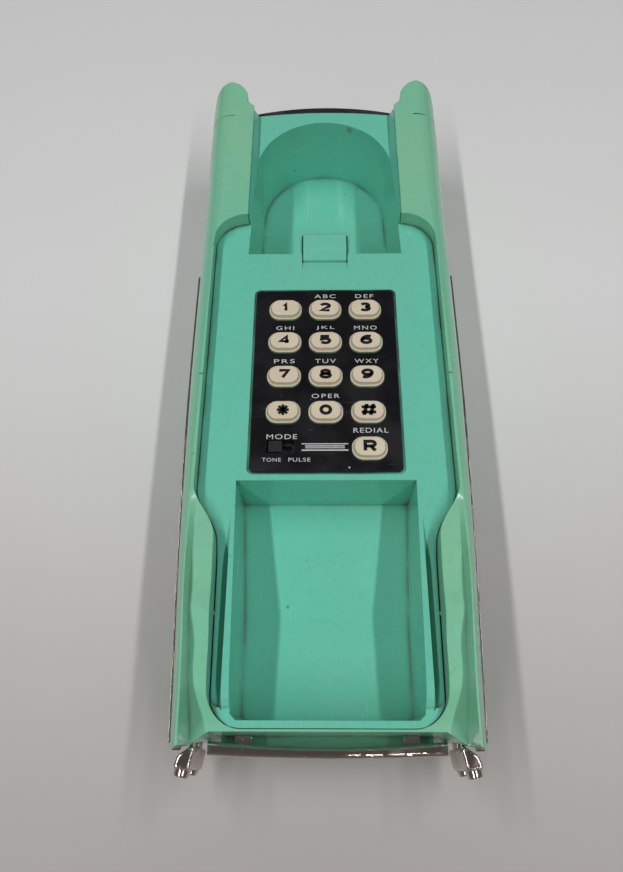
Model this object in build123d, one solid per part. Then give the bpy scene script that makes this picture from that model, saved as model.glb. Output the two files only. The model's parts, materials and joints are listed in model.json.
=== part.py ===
from build123d import *
import math
import os

# Novelty telephone base in the shape of a finned car, without its handset.
# Millimetres. +Y is the car's front, +X its right side, +Z up, z = 0 under the rubber feet.

# Overall shape
BODY_BOTTOM = 11.0
BODY_WALL = 2.4
SHOULDER_HALF_WIDTH = 56.15
SHOULDER_Z = 46.0
NOSE_WIDENING = 0.45
TAIL_NARROWING = 4.5
RAIL_TOP = 58.0
FIN_RISE = 3.8
QUARTER_SHELF_TOP = 55.4
TAIL_SHELF_TOP = 46.6
DROP_START = -130.0
DROP_LENGTH = 20.0
NOSE_END = 156.9
TAIL_END = -153.5
TAIL_FACE_Y = -149.6
REAR_PANEL_Y = -147.4
APRON_REAR = -151.0
APRON_TOP = 15.0
SHELF_FRONT_Y = 142.3
SHELF_SIDE_Y = 139.8
SHELF_HALF_WIDTH = 34.3
DOOR_SEAM_FRONT = (53.1, 55.2)
DOOR_SEAM_ANGLE = 49.0
DOOR_SEAM_REAR_Y = -16.0
FENDER_SEAM_Y = 132.6
SEAM_WIDTH = 0.6
SEAM_DEPTH = 0.55

# Opening in the body's top
OPENING_HALF_WIDTH = 49.1
FENDER_EDGE = 34.8
OPENING_CORNER_Y = 53.9
OPENING_CORNER_RADIUS = 14.2
S_CURVE_FRONT = -63.0
S_CURVE_REAR = -83.0
REAR_OPENING_HALF_WIDTH = 40.7
REAR_OPENING_TAPER = 0.7
OPENING_REAR = -146.6
OPENING_REAR_RADIUS = 11.0
FRONT_BOSS = (45.6, 132.0)
REAR_BOSS = (46.0, -128.0)
COLLAR = 2.2
COLLAR_LOW = 46.5
OPENING_LOW = 42.8

# Cradle tray
DECK_TOP = 51.0
TRAY_WALL = 2.2
TRAY_GAP = 0.25
EAR_REAR = 50.5
EAR_CENTRE = 102.7
EAR_RIM_RADIUS = 32.5
EAR_RIM_REAR = 34.4
EAR_FLOOR = 16.0
EAR_DRAFT = 1.4
FLANK_FOOT = 32.4
MOUTH_FRONT = -59.4
MOUTH_REAR = -144.0
MOUTH_RIM_FRONT = 34.35
MOUTH_RIM_REAR = 32.9
MOUTH_DRAFT = 1.2
MOUTH_FLOOR_FRONT = 26.0
MOUTH_CREASE_Y = -104.0
MOUTH_FLOOR_CREASE = 16.0
MOUTH_FLOOR_REAR = 19.5
CHANNEL_INNER = 35.7
CHANNEL_FLOOR = 45.4
CHANNEL_RAMP = (-74.0, -92.0)
CHANNEL_END = -140.0
CHANNEL_CORNER = 4.0
LIP_TOP = 47.0
RIDGE_END = -140.3

# Hook switch
HOOK_FRAME_HALF = 14.0
HOOK_FRAME_FRONT = 63.0
HOOK_HALF = 9.7
HOOK_SLOT_GAP = 0.45
HOOK_REAR = 46.9
HOOK_FRONT = 60.9
HOOK_TOP = 53.4
HOOK_TRAVEL = 4.5
HOOK_STEM_Y = 54.0

# Keypad
KEY_PITCH_X = 17.0
KEY_PITCH_Y = 16.53
FIRST_ROW_Y = 19.1
REDIAL_ROW_Y = -46.4
KEY_LENGTH = 13.9
KEY_WIDTH = 9.9
KEY_CLEARANCE = 0.35
KEY_STEP = 52.3
KEY_STEP_IN = 0.7
KEY_TOP_IN = 1.1
KEY_TOP = 54.0
KEY_TRAVEL = 1.5
PLATE_WIDTH = 59.5
PLATE_LENGTH = 85.6
PLATE_CENTRE_Y = -13.2
PLATE_TOP = 51.6
PLATE_THICKNESS = 1.4
PLATE_MARGIN = 0.9
MODE_SLOT = (-17.8, -45.4)
MODE_SLOT_SIZE = (11.0, 5.6)
MODE_TRAVEL = 4.0
KEY_ROWS = (("1", "2", "3"), ("4", "5", "6"), ("7", "8", "9"), ("star", "0", "hash"))

# Base plate, wheels and feet
FLANGE_LOW = 11.3
PLATE_SKIN = 2.0
PAN_LOW = 4.0
PAN_HALF_WIDTH = 37.0
PAN_REAR = -122.0
PAN_FRONT = 132.0
FOOT_POINTS = ((28.0, 118.0), (28.0, -108.0))
WHEEL_RADIUS = 19.5
WHEEL_Z = 20.1
WHEEL_FRONT_Y = 99.0
WHEEL_REAR_Y = -79.0
TYRE_INNER = 44.7
TYRE_OUTER = 53.0
ARCH_GAP = 2.2
HOUSING_WALL = 1.2
HOUSING_INNER = 42.9

SIDES = (("left", -1), ("right", 1))
PARTS = {}


def keep(name, shape):
    """Store one node under its name."""
    PARTS[name] = shape
    return shape


def smooth(value):
    """Ease from 0 to 1 with flat ends."""
    value = min(max(value, 0.0), 1.0)
    return value * value * (3 - 2 * value)


def mix(low, high, share):
    return low + (high - low) * share


def both_sides(shape):
    """A right-hand shape together with its left-hand mirror image."""
    return shape + mirror(shape, about=Plane.YZ)


def block(x, y, z):
    """A box from three (low, high) pairs."""
    size = [high - low for low, high in (x, y, z)]
    middle = [(high + low) / 2 for low, high in (x, y, z)]
    return Pos(*middle) * Box(*size)


def plan_prism(face, low, high):
    """A face in the ground plane, raised between two heights."""
    return Pos(0, 0, low) * extrude(face, amount=high - low, dir=(0, 0, 1))


def side_prism(points, x_low, x_high):
    """A closed (y, z) outline, carried across from x_low to x_high."""
    corners = [(x_low, y, z) for y, z in points]
    face = make_face(Polyline(*corners, close=True))
    return extrude(face, amount=x_high - x_low, dir=(1, 0, 0))


def upright(radius, x, y, low, high):
    """A vertical cylinder between two heights."""
    return Pos(x, y, (low + high) / 2) * Cylinder(radius, high - low)


def across(radius, x_low, x_high, y, z):
    """A cylinder along X."""
    place = Pos((x_low + x_high) / 2, y, z) * Rot(0, 90, 0)
    return place * Cylinder(radius, x_high - x_low)


def along(radius, x, y_low, y_high, z):
    """A cylinder along Y."""
    place = Pos(x, (y_low + y_high) / 2, z) * Rot(90, 0, 0)
    return place * Cylinder(radius, y_high - y_low)


# Body ---------------------------------------------------------------------------------------------

SECTION_STATIONS = (158, 146, 130, 114, 92, 70, 48, 26, 4, -18, -38, -58, -78, -98, -118,
                    -126, -134, -140, -146, -152, -158)


def shoulder_half_width(y):
    """Half the body's width at its shoulder: it narrows towards the tail."""
    behind = max(-y, 0) / 150
    ahead = smooth((y - 80) / 40)
    return SHOULDER_HALF_WIDTH + NOSE_WIDENING * ahead - TAIL_NARROWING * behind ** 1.6


def shelf_height(y):
    """Height of the flat top inside the rails: it steps down for the quarters and falls to the tail."""
    quarter = smooth((-y - 58) / 60)
    drop = smooth((DROP_START - y) / DROP_LENGTH)
    return mix(RAIL_TOP, QUARTER_SHELF_TOP, quarter) - (QUARTER_SHELF_TOP - TAIL_SHELF_TOP) * drop


def body_section(y, grow=0.0, low=BODY_BOTTOM):
    """Right half of the body's cross-section at y, grown sideways and upwards by grow.

    A shrunk section is a hollow's, so it has no fin and its top does not fall to the tail.
    """
    towards_tail = smooth((-y - 20) / 130)
    fender = smooth((y + 20) / 170)
    fin = smooth((-y - 58) / 60)
    fin_lean = smooth((-y - 75) / 75)
    shoulder_x = shoulder_half_width(y) + grow
    waist_x = shoulder_x + mix(0.3, 1.3, towards_tail)
    shelf = shelf_height(y) + grow
    outer_x = mix(50.2, 46.6, fender) - 2.6 * fin_lean
    crown_x = outer_x + 0.7 * grow
    inner_x = mix(mix(49.6, 42.5, fender), outer_x - 0.7, fin) + 0.3 * grow
    crease_x = mix(mix(47.6, 34.0, fender), outer_x - 1.8, fin) + 0.7 * grow
    top = RAIL_TOP + FIN_RISE * fin + grow
    lean = (mix(mix(-0.85, -1.0, fender), -0.5, fin), 0, mix(mix(0.5, 0.15, fender), 0.87, fin))
    if grow < 0:
        shelf = shelf_height(max(y, DROP_START)) + grow
        top = shelf
        lean = (-1, 0, 0)
        inner_x = crown_x - 1.5
        crease_x = crown_x - 3.5
    crown = (crown_x, y, top)
    shoulder = (shoulder_x, y, SHOULDER_Z)
    sill = (waist_x - 2.0, y, low)
    side = ThreePointArc(sill, (waist_x, y, 34.0), shoulder)
    turn = Spline(shoulder, crown, tangents=[(-0.1, 0, 1), lean])
    rest = Polyline(crown, (inner_x, y, top), (crease_x, y, shelf), (0, y, shelf), (0, y, low), sill)
    return Wire([*side.edges(), *turn.edges(), *rest.edges()])


def half_form(grow=0.0, low=BODY_BOTTOM):
    """The right half of the body's solid outer form, before it is trimmed in plan."""
    return Part() + Solid.make_loft([body_section(y, grow, low) for y in SECTION_STATIONS], False)


def body_form(grow=0.0, low=BODY_BOTTOM):
    return both_sides(half_form(grow, low))


def nose_curve(inset):
    """Right fender's nose in plan, from its inner to its outer side."""
    points = ((38.5 + inset, 143.0), (40.7 + inset, 152.8 - inset), (47.0, NOSE_END - inset),
              (53.2 - inset, 154.2 - inset), (55.2 - inset, 149.0), (56.6 - inset, 138.0))
    return Spline(*points)


def plan_outline(inset=0.0):
    """The body seen from above: bowed front, round fender noses, angled tail corners."""
    front = SHELF_SIDE_Y - inset
    wide = 60.0
    tail_y = TAIL_END + inset
    panel_y = REAR_PANEL_Y + inset
    bow = ThreePointArc((-SHELF_HALF_WIDTH, front), (0, SHELF_FRONT_Y - inset),
                        (SHELF_HALF_WIDTH, front))
    right_nose = nose_curve(inset)
    left_nose = mirror(right_nose, about=Plane.YZ)
    nose_start, nose_stop = right_nose @ 0, right_nose @ 1
    tail = Polyline(
        nose_stop, (wide, 130), (wide, tail_y), (49.3, tail_y), (39.5, panel_y), (-39.5, panel_y),
        (-49.3, tail_y), (-wide, tail_y), (-wide, 130), (-nose_stop.X, nose_stop.Y))
    steps = [Polyline((side * SHELF_HALF_WIDTH, front), (side * (35.4 + inset), front),
                      (side * nose_start.X, nose_start.Y)) for side in (1, -1)]
    wires = [bow, right_nose, left_nose, tail, *steps]
    return make_face([edge for wire in wires for edge in wire.edges()])


def opening_outline(inset=0.0):
    """The opening in the body's top, seen from above, made smaller by inset."""
    def half(side):
        wide = (OPENING_HALF_WIDTH - inset) * side
        edge = (FENDER_EDGE - inset) * side
        narrow = (REAR_OPENING_HALF_WIDTH - inset) * side
        tail = (REAR_OPENING_HALF_WIDTH - REAR_OPENING_TAPER - inset) * side
        corner = OPENING_CORNER_RADIUS - inset
        centre_x = wide - corner * side
        slant = corner * math.sqrt(0.5)
        round_corner = ThreePointArc((centre_x, OPENING_CORNER_Y + corner),
                                     (centre_x + slant * side, OPENING_CORNER_Y + slant),
                                     (wide, OPENING_CORNER_Y))
        curve = Spline((wide, S_CURVE_FRONT), (narrow, S_CURVE_REAR),
                       tangents=[(0, -1), (0, -1)], tangent_scalars=[1.0, 1.0])
        rear = OPENING_REAR + inset
        radius = OPENING_REAR_RADIUS - inset
        tail_x = tail - radius * side
        tail_corner = ThreePointArc((tail, rear + radius),
                                    (tail_x + radius * math.sqrt(0.5) * side,
                                     rear + radius * (1 - math.sqrt(0.5))), (tail_x, rear))
        lines = [Line((edge, 150), (edge, OPENING_CORNER_Y + corner)),
                 Line((edge, OPENING_CORNER_Y + corner), (centre_x, OPENING_CORNER_Y + corner)),
                 round_corner, Line((wide, OPENING_CORNER_Y), (wide, S_CURVE_FRONT)), curve,
                 Line((narrow, S_CURVE_REAR), (tail, rear + radius)), tail_corner]
        return lines, (edge, 150), (tail_x, rear)
    right, right_front, right_rear = half(1)
    left, left_front, left_rear = half(-1)
    caps = [Line(right_front, left_front), Line(right_rear, left_rear)]
    return make_face([edge for line in right + left + caps for edge in line.edges()])


def wheel_stations():
    return (("front", WHEEL_FRONT_Y), ("rear", WHEEL_REAR_Y))


def wheel_housings():
    """Closed housings round the wheels, and the space cut out for them, right side."""
    arch = WHEEL_RADIUS + ARCH_GAP
    shells = Part()
    spaces = Part()
    for _, y in wheel_stations():
        reach = shoulder_half_width(y) - 2.0
        outer = across(arch + HOUSING_WALL, HOUSING_INNER, reach, y, WHEEL_Z)
        shells += outer & block((40, 60), (y - 40, y + 40), (BODY_BOTTOM, 60))
        spaces += across(arch, HOUSING_INNER + HOUSING_WALL, 70.0, y, WHEEL_Z)
        spaces += block((HOUSING_INNER + HOUSING_WALL, 70), (y - arch, y + arch), (0, WHEEL_Z))
        spaces += across(1.35, 40, 50, y, WHEEL_Z)
    return shells, spaces


def under_tail_shelf(depth):
    """Everything more than depth below the shelf where it falls to the tail."""
    stations = [DROP_START - DROP_LENGTH * index / 8 for index in range(9)]
    falling = [(y, shelf_height(y) - depth) for y in stations]
    end = falling[-1][1]
    return side_prism([(170, 0), (170, 80), (stations[0], 80), *falling, (-170, end), (-170, 0)], -60, 60)


def seam_cuts(outer):
    """Thin grooves for the door and fender joints, just as deep as the skin they are cut in."""
    half = SEAM_WIDTH / 2
    slabs = block((44, 60), (FENDER_SEAM_Y - half, FENDER_SEAM_Y + half), (44, 70))
    slabs += block((49, 60), (DOOR_SEAM_REAR_Y - half, DOOR_SEAM_REAR_Y + half), (14, 70))
    slabs += Pos(*DOOR_SEAM_FRONT, 42) * Rot(0, 0, DOOR_SEAM_ANGLE) * Box(12, SEAM_WIDTH, 56)
    return both_sides(slabs) & (outer - body_form(-SEAM_DEPTH))


def body_shell(outer):
    """Outer moulding: fenders, door rails, quarters and fins, open at the top and underneath."""
    trimmed = outer & plan_prism(plan_outline(), 0, 80)
    hollow = body_form(-BODY_WALL, BODY_BOTTOM - 5)
    hollow &= plan_prism(plan_outline(BODY_WALL), 0, 80)
    hollow &= under_tail_shelf(BODY_WALL + 0.3)
    hollow &= block((-60, 60), (TAIL_END - 5, NOSE_END - 8), (0, 80))
    opening = plan_prism(opening_outline(), OPENING_LOW, 80)
    collar = plan_prism(opening_outline(-COLLAR), COLLAR_LOW, 80)
    fender_collar = both_sides(block((36.9, 39.1), (66, 139.5), (COLLAR_LOW, 80)))
    shell = trimmed - (hollow - collar - fender_collar) - opening
    relief = block((30, 36.9), (EAR_REAR, 150), (COLLAR_LOW - 1, RAIL_TOP - BODY_WALL))
    corner_y = OPENING_CORNER_Y + OPENING_CORNER_RADIUS + 2.4
    relief -= block((30, 60), (EAR_REAR, corner_y), (DECK_TOP + 0.2, 80))
    shell -= both_sides(relief)
    housings, spaces = wheel_housings()
    bosses = Part()
    for x, y, top in ((*FRONT_BOSS, 56.5), (*REAR_BOSS, 53.3)):
        bosses += upright(3.4, x, y, FLANGE_LOW + PLATE_SKIN, top)
        spaces += upright(1.3, x, y, 0, FLANGE_LOW + 14)
    shell += both_sides(housings + bosses)
    shell += block((-39.3, 39.3), (APRON_REAR, REAR_PANEL_Y + 1.0), (BODY_BOTTOM, APRON_TOP))
    shell -= both_sides(spaces)
    # Head lamp faces under the hoods, and slanted tail faces under the fin tips
    shell -= both_sides(block((38, 60), (151.5, 170), (0, 51.6)))
    lamp = tail_lamp_pocket()
    shell -= both_sides(lamp)
    slant = side_prism([(TAIL_END - 3, 62), (TAIL_END, 62), (TAIL_FACE_Y, 30), (TAIL_FACE_Y, 0),
                        (TAIL_END - 3, 0)], 40, 60)
    shell -= both_sides(slant)
    shell -= seam_cuts(outer)
    for y, z, size in (LINE_JACK, HANDSET_JACK):
        shell -= block((-60, -50), (y - size / 2 - 0.4, y + size / 2 + 0.4),
                       (z - JACK_HEIGHT / 2 - 0.4, z + JACK_HEIGHT / 2 + 0.4))
    shell -= block((50, 60), (RINGER_Y - 5.5, RINGER_Y + 5.5), (RINGER_Z - 2.0, RINGER_Z + 2.0))
    return shell


# Jacks and ringer switch: y, z and front width of each
LINE_JACK = (-34.0, 23.0, 13.2)
HANDSET_JACK = (36.0, 23.0, 11.2)
JACK_HEIGHT = 12.4
JACK_DEPTH = 15.0
RINGER_Y = -6.0
RINGER_Z = 24.0
RINGER_TRAVEL = 4.0


# Cradle tray --------------------------------------------------------------------------------------

def ear_outline(shift, rear_shift):
    """Ear recess in plan: straight rear edge, round front."""
    radius = EAR_RIM_RADIUS + shift
    rear_half = EAR_RIM_REAR + shift
    rear = EAR_REAR - rear_shift
    arc = ThreePointArc((-radius, EAR_CENTRE), (0, EAR_CENTRE + radius), (radius, EAR_CENTRE))
    rest = Polyline((radius, EAR_CENTRE), (rear_half, rear), (-rear_half, rear),
                    (-radius, EAR_CENTRE))
    return Wire([*arc.edges(), *rest.edges()])


def drafted(outline, shifts, low, high):
    """A loft between two outlines: shifts are (bottom, top)."""
    bottom = Pos(0, 0, low) * outline(*shifts[0])
    top = Pos(0, 0, high) * outline(*shifts[1])
    return Solid.make_loft([bottom, top], True)


def ear_form(wall):
    """The ear recess (wall = 0) or the outside of its pocket."""
    floor_shift = wall - EAR_DRAFT
    per_mm = EAR_DRAFT / (DECK_TOP - EAR_FLOOR)
    top = RAIL_TOP + 2 if wall == 0 else DECK_TOP
    top_shift = wall + (top - DECK_TOP) * per_mm
    return drafted(ear_outline, ((floor_shift, floor_shift), (top_shift, wall)),
                   EAR_FLOOR - wall, top)


def mouth_outline(shift, end_shift):
    """Mouth recess in plan: a slightly tapered rectangle with small rear corners."""
    front_half = MOUTH_RIM_FRONT + shift
    rear_half = MOUTH_RIM_REAR + shift
    front = MOUTH_FRONT + end_shift
    rear = MOUTH_REAR - end_shift
    corner = 2.0
    edge = Polyline((-rear_half + corner, rear), (-rear_half, rear + corner),
                    (-front_half, front), (front_half, front), (rear_half, rear + corner),
                    (rear_half - corner, rear), (-rear_half + corner, rear))
    return Wire(edge.edges())


def mouth_floor(drop):
    """Everything above the mouth recess's creased floor, lowered by drop."""
    points = [(-170, 80), (-170, MOUTH_FLOOR_REAR - drop), (MOUTH_REAR, MOUTH_FLOOR_REAR - drop),
              (MOUTH_CREASE_Y, MOUTH_FLOOR_CREASE - drop), (MOUTH_FRONT, MOUTH_FLOOR_FRONT - drop),
              (-40, MOUTH_FLOOR_FRONT - drop), (-40, 80)]
    return side_prism(points, -60, 60)


def mouth_form(wall):
    """The mouth recess (wall = 0) or the outside of its pocket."""
    bottom = wall - MOUTH_DRAFT
    sides = drafted(mouth_outline, ((bottom, bottom), (wall, wall)), 10, DECK_TOP)
    if wall == 0:
        sides += drafted(mouth_outline, ((0, 0), (0.4, 0.4)), DECK_TOP, 62)
    return sides & mouth_floor(wall)


def channel_cut():
    """The space beside the mouth recess: a ramp down from the deck, then a flat channel."""
    ramp_top, ramp_foot = CHANNEL_RAMP
    points = [(ramp_top, 80), (ramp_top, DECK_TOP), (mix(ramp_top, ramp_foot, 0.25), 50.2),
              (mix(ramp_top, ramp_foot, 0.75), CHANNEL_FLOOR + 0.8), (ramp_foot, CHANNEL_FLOOR),
              (CHANNEL_END, CHANNEL_FLOOR), (CHANNEL_END - 0.8, LIP_TOP), (-170, LIP_TOP), (-170, 80)]
    cut = side_prism(points, CHANNEL_INNER, 60)
    round_x = REAR_OPENING_HALF_WIDTH - REAR_OPENING_TAPER - CHANNEL_CORNER
    round_y = CHANNEL_END + CHANNEL_CORNER
    corner = block((round_x, 60), (CHANNEL_END - 2, round_y), (0, LIP_TOP))
    return both_sides(cut - (corner - upright(CHANNEL_CORNER, round_x, round_y, 0, 80)))


def lip_cut():
    """Lowers everything behind the ridges' sloping ends to the rear lip."""
    points = [(RIDGE_END + 9, 80), (RIDGE_END + 9, DECK_TOP), (RIDGE_END + 6, DECK_TOP - 0.4),
              (RIDGE_END + 3, DECK_TOP - 1.5), (RIDGE_END + 0.8, DECK_TOP - 3.0), (RIDGE_END, LIP_TOP),
              (-170, LIP_TOP), (-170, 80)]
    return side_prism(points, -60, 60)


def flanks():
    """Sloping strips that rise from the front shelf to the fenders' inner edges."""
    high = RAIL_TOP - BODY_WALL - 0.2
    points = [(FLANK_FOOT, DECK_TOP), (FENDER_EDGE - 0.1, high), (FENDER_EDGE + 1.7, high),
              (FENDER_EDGE + 1.7, DECK_TOP - TRAY_WALL), (FLANK_FOOT, DECK_TOP - TRAY_WALL)]
    start = OPENING_CORNER_Y + OPENING_CORNER_RADIUS + TRAY_GAP
    under_edge = start + 2.5
    face = make_face(Polyline(*[(x, start, z) for x, z in points], close=True))
    strip = extrude(face, amount=139.3 - start, dir=(0, 1, 0))
    return both_sides(strip - block((FENDER_EDGE - TRAY_GAP, 60), (start - 1, under_edge), (0, 80)))


def tray_outline():
    """Plan outline of the tray's deck."""
    inside = plan_prism(opening_outline(TRAY_GAP), 0, 100)
    bow = ThreePointArc((-SHELF_HALF_WIDTH, SHELF_SIDE_Y), (0, SHELF_FRONT_Y),
                        (SHELF_HALF_WIDTH, SHELF_SIDE_Y))
    rest = Polyline((SHELF_HALF_WIDTH, SHELF_SIDE_Y), (80, SHELF_SIDE_Y), (80, -170), (-80, -170),
                    (-80, SHELF_SIDE_Y), (-SHELF_HALF_WIDTH, SHELF_SIDE_Y))
    return inside & plan_prism(make_face([*bow.edges(), *rest.edges()]), 0, 100)


def hook_tower():
    """The hook button's frame, standing in the rear of the ear recess."""
    outer = block((-HOOK_FRAME_HALF, HOOK_FRAME_HALF), (EAR_REAR - 2, HOOK_FRAME_FRONT),
                  (EAR_FLOOR - TRAY_WALL, DECK_TOP))
    front_edges = outer.edges().filter_by(Axis.Z).sort_by(Axis.Y)[-2:]
    return fillet(front_edges, 1.2)


def hook_space():
    """The slot that the hook button slides in, and the hollow under it."""
    gap = HOOK_SLOT_GAP
    slot = block((-HOOK_HALF - gap, HOOK_HALF + gap), (HOOK_REAR - gap, HOOK_FRONT + gap), (0, 70))
    hollow = block((-HOOK_FRAME_HALF + 1.8, HOOK_FRAME_HALF - 1.8),
                   (HOOK_REAR - gap, HOOK_FRAME_FRONT - 1.6), (0, DECK_TOP - 3.0))
    return slot + hollow


def cradle_tray():
    """Inner moulding that the handset lies in."""
    deck = tray_outline()
    region = deck & block((-80, 80), (-170, 160), (0, DECK_TOP))
    plate = deck & block((-80, 80), (-170, 160), (DECK_TOP - TRAY_WALL, DECK_TOP))
    trough = block((-60, 60), (-170, CHANNEL_RAMP[0] + 6), (CHANNEL_FLOOR - TRAY_WALL, DECK_TOP))
    tray = plate + (region & trough) + flanks() + ear_form(TRAY_WALL) + mouth_form(TRAY_WALL)
    tray -= channel_cut()
    tray -= lip_cut()
    tray -= mouth_form(0)
    tray -= block((-60, 60), (-170, REAR_PANEL_Y + BODY_WALL + 0.2), (0, OPENING_LOW + 0.2))
    ear = ear_form(0)
    tower = hook_tower()
    tray -= ear - tower
    tray += tower & block((-60, 60), (EAR_REAR - 2, 80), (EAR_FLOOR - TRAY_WALL, 60))
    tray -= hook_space()
    dip = side_prism([(HOOK_REAR + 1, 60), (HOOK_REAR + 1, DECK_TOP - 1.1),
                      (HOOK_REAR - 4.6, DECK_TOP), (HOOK_REAR - 4.6, 60)],
                     -HOOK_HALF - HOOK_SLOT_GAP, HOOK_HALF + HOOK_SLOT_GAP)
    tray -= dip
    margin = 2 * PLATE_MARGIN
    seat = Pos(0, PLATE_CENTRE_Y) * RectangleRounded(PLATE_WIDTH + margin, PLATE_LENGTH + margin, 2.6)
    tray -= plan_prism(seat, PLATE_TOP - PLATE_THICKNESS - 0.05, 60)
    window = Pos(0, PLATE_CENTRE_Y) * RectangleRounded(PLATE_WIDTH - 5, PLATE_LENGTH - 5, 1.0)
    tray -= plan_prism(window, 0, 60)
    bosses = Part()
    pilots = Part()
    for x, y in board_screw_points():
        bosses += upright(2.6, x, y, BOARD_TOP, DECK_TOP - 1.6)
        pilots += upright(1.0, x, y, BOARD_TOP - 1, DECK_TOP - 2.6)
    for x, y in tray_post_points():
        bosses += upright(3.6, x, y, FLANGE_LOW + PLATE_SKIN, DECK_TOP - 1)
        pilots += upright(1.3, x, y, 0, FLANGE_LOW + 14)
    return tray + bosses - pilots


def board_screw_points():
    return [(x, y) for x in (-31.0, 31.0) for y in (24.0, -13.0, -50.0)]


def tray_post_points():
    return [(x, y) for x in (-43.0, 43.0) for y in (48.0, -46.0)]


# Keypad -------------------------------------------------------------------------------------------

BOARD_TOP = 44.4
BOARD_THICKNESS = 1.6
MAT_THICKNESS = 1.2


def key_places():
    """Name and centre of every key."""
    places = {}
    for row, names in enumerate(KEY_ROWS):
        for column, name in enumerate(names):
            places[name] = ((column - 1) * KEY_PITCH_X, FIRST_ROW_Y - row * KEY_PITCH_Y)
    places["redial"] = (KEY_PITCH_X, REDIAL_ROW_Y)
    return places


def key_outline(grow):
    """A long oval with rounded ends."""
    length = KEY_LENGTH + 2 * grow
    width = KEY_WIDTH + 2 * grow
    return RectangleRounded(length, width, width * 0.46)


def key_cap():
    """Hollow key with a flange that stops it under the face plate, centred on the origin."""
    under_plate = PLATE_TOP - PLATE_THICKNESS
    skirt = plan_prism(key_outline(0), under_plate - 0.4, KEY_STEP)
    skirt = fillet(skirt.faces().sort_by(Axis.Z)[-1].edges(), 0.25)
    outlines = [Pos(0, 0, z) * key_outline(-step).wire()
                for step, z in ((KEY_STEP_IN, KEY_STEP - 0.1), (KEY_TOP_IN, KEY_TOP))]
    cap = Part() + Solid.make_loft(outlines, True)
    cap = skirt + fillet(cap.faces().sort_by(Axis.Z)[-1].edges(), 0.4)
    flange = plan_prism(key_outline(1.2), under_plate - 1.5, under_plate - 0.3)
    hollow = plan_prism(key_outline(-1.7), 0, KEY_TOP - 1.6)
    return cap + flange - hollow


def keypad_plate():
    """Black face plate with a hole for each key and the mode switch's slot."""
    outline = Pos(0, PLATE_CENTRE_Y) * RectangleRounded(PLATE_WIDTH, PLATE_LENGTH, 1.8)
    plate = plan_prism(outline, PLATE_TOP - PLATE_THICKNESS, PLATE_TOP)
    plate = chamfer(plate.faces().sort_by(Axis.Z)[-1].edges(), 0.25)
    for x, y in key_places().values():
        plate -= plan_prism(Pos(x, y) * key_outline(KEY_CLEARANCE), 0, 60)
    slot = Pos(*MODE_SLOT) * RectangleRounded(*MODE_SLOT_SIZE, 0.6)
    return plate - plan_prism(slot, 0, 60)


def key_mat():
    """Rubber sheet with a dome under each key."""
    sheet = Pos(0, PLATE_CENTRE_Y) * RectangleRounded(51, 78, 2)
    mat = plan_prism(sheet, BOARD_TOP, BOARD_TOP + MAT_THICKNESS)
    dome_top = KEY_TOP - 1.6 - KEY_TRAVEL - 0.3
    for x, y in key_places().values():
        mat += upright(2.4, x, y, BOARD_TOP, dome_top)
    x, y = MODE_SLOT
    return mat - block((x - 7.2, x + 7.2), (y - 4.6, y + 4.6), (0, 60))


def keypad_board():
    outline = Pos(0, PLATE_CENTRE_Y) * RectangleRounded(70, 82, 1.5)
    board = plan_prism(outline, BOARD_TOP - BOARD_THICKNESS, BOARD_TOP)
    for x, y in board_screw_points():
        board -= upright(1.3, x, y, 0, 60)
    return board


def board_screws():
    """Pan-head screws that hold the keypad board to the tray's bosses."""
    low = BOARD_TOP - BOARD_THICKNESS
    screws = [upright(2.3, x, y, low - 1.5, low) + upright(0.95, x, y, low - 0.5, BOARD_TOP + 3.4)
              for x, y in board_screw_points()]
    return Compound(children=screws)


def mode_switch():
    """Slide switch on the keypad board: fixed body and moving knob."""
    x, y = MODE_SLOT
    body = block((x - 6.6, x + 6.6), (y - 4.0, y + 4.0), (BOARD_TOP, BOARD_TOP + 4.2))
    body -= block((x - 4.6, x + 4.6), (y - 1.5, y + 1.5), (BOARD_TOP + 1.6, 60))
    knob_x = x - MODE_TRAVEL / 2
    knob = block((knob_x - 2.2, knob_x + 2.2), (y - 1.2, y + 1.2), (BOARD_TOP + 2.0, PLATE_TOP + 0.6))
    knob += block((knob_x - 2.6, knob_x + 2.6), (y - 2.3, y + 2.3), (PLATE_TOP - 1.2, PLATE_TOP + 0.2))
    for offset in (-1.4, 0, 1.4):
        knob -= block((knob_x + offset - 0.25, knob_x + offset + 0.25), (y - 3, y + 3),
                      (PLATE_TOP + 0.25, 60))
    return body, knob


# Hook switch --------------------------------------------------------------------------------------

MAIN_BOARD_LOW = 8.8
MAIN_BOARD_TOP = 10.4
SWITCH_TOP = 21.8
STEM_LOW = 28.8
PLUNGER_LOW = 34.0


def hook_button():
    """Sprung plunger with a sloping rear face, pressed by the handset."""
    profile = [(HOOK_REAR, PLUNGER_LOW), (HOOK_REAR, DECK_TOP - 1.6), (HOOK_REAR + 0.7, DECK_TOP - 0.4),
               (HOOK_REAR + 4.2, HOOK_TOP - 0.3), (HOOK_REAR + 5.4, HOOK_TOP), (HOOK_FRONT - 1.0, HOOK_TOP),
               (HOOK_FRONT, HOOK_TOP - 0.9), (HOOK_FRONT, PLUNGER_LOW)]
    button = side_prism(profile, -HOOK_HALF, HOOK_HALF)
    hollow = block((-HOOK_HALF + 1.6, HOOK_HALF - 1.6), (HOOK_REAR + 1.6, HOOK_FRONT - 1.6),
                   (PLUNGER_LOW + 1.8, DECK_TOP - 3.2))
    button -= hollow
    skirt = block((-HOOK_FRAME_HALF + 2.4, HOOK_FRAME_HALF - 2.4), (HOOK_REAR + 1, HOOK_FRONT - 1),
                  (PLUNGER_LOW + 6, PLUNGER_LOW + 13))
    button += skirt - hollow
    return button + upright(1.8, 0, HOOK_STEM_Y, STEM_LOW, PLUNGER_LOW + 1)


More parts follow.
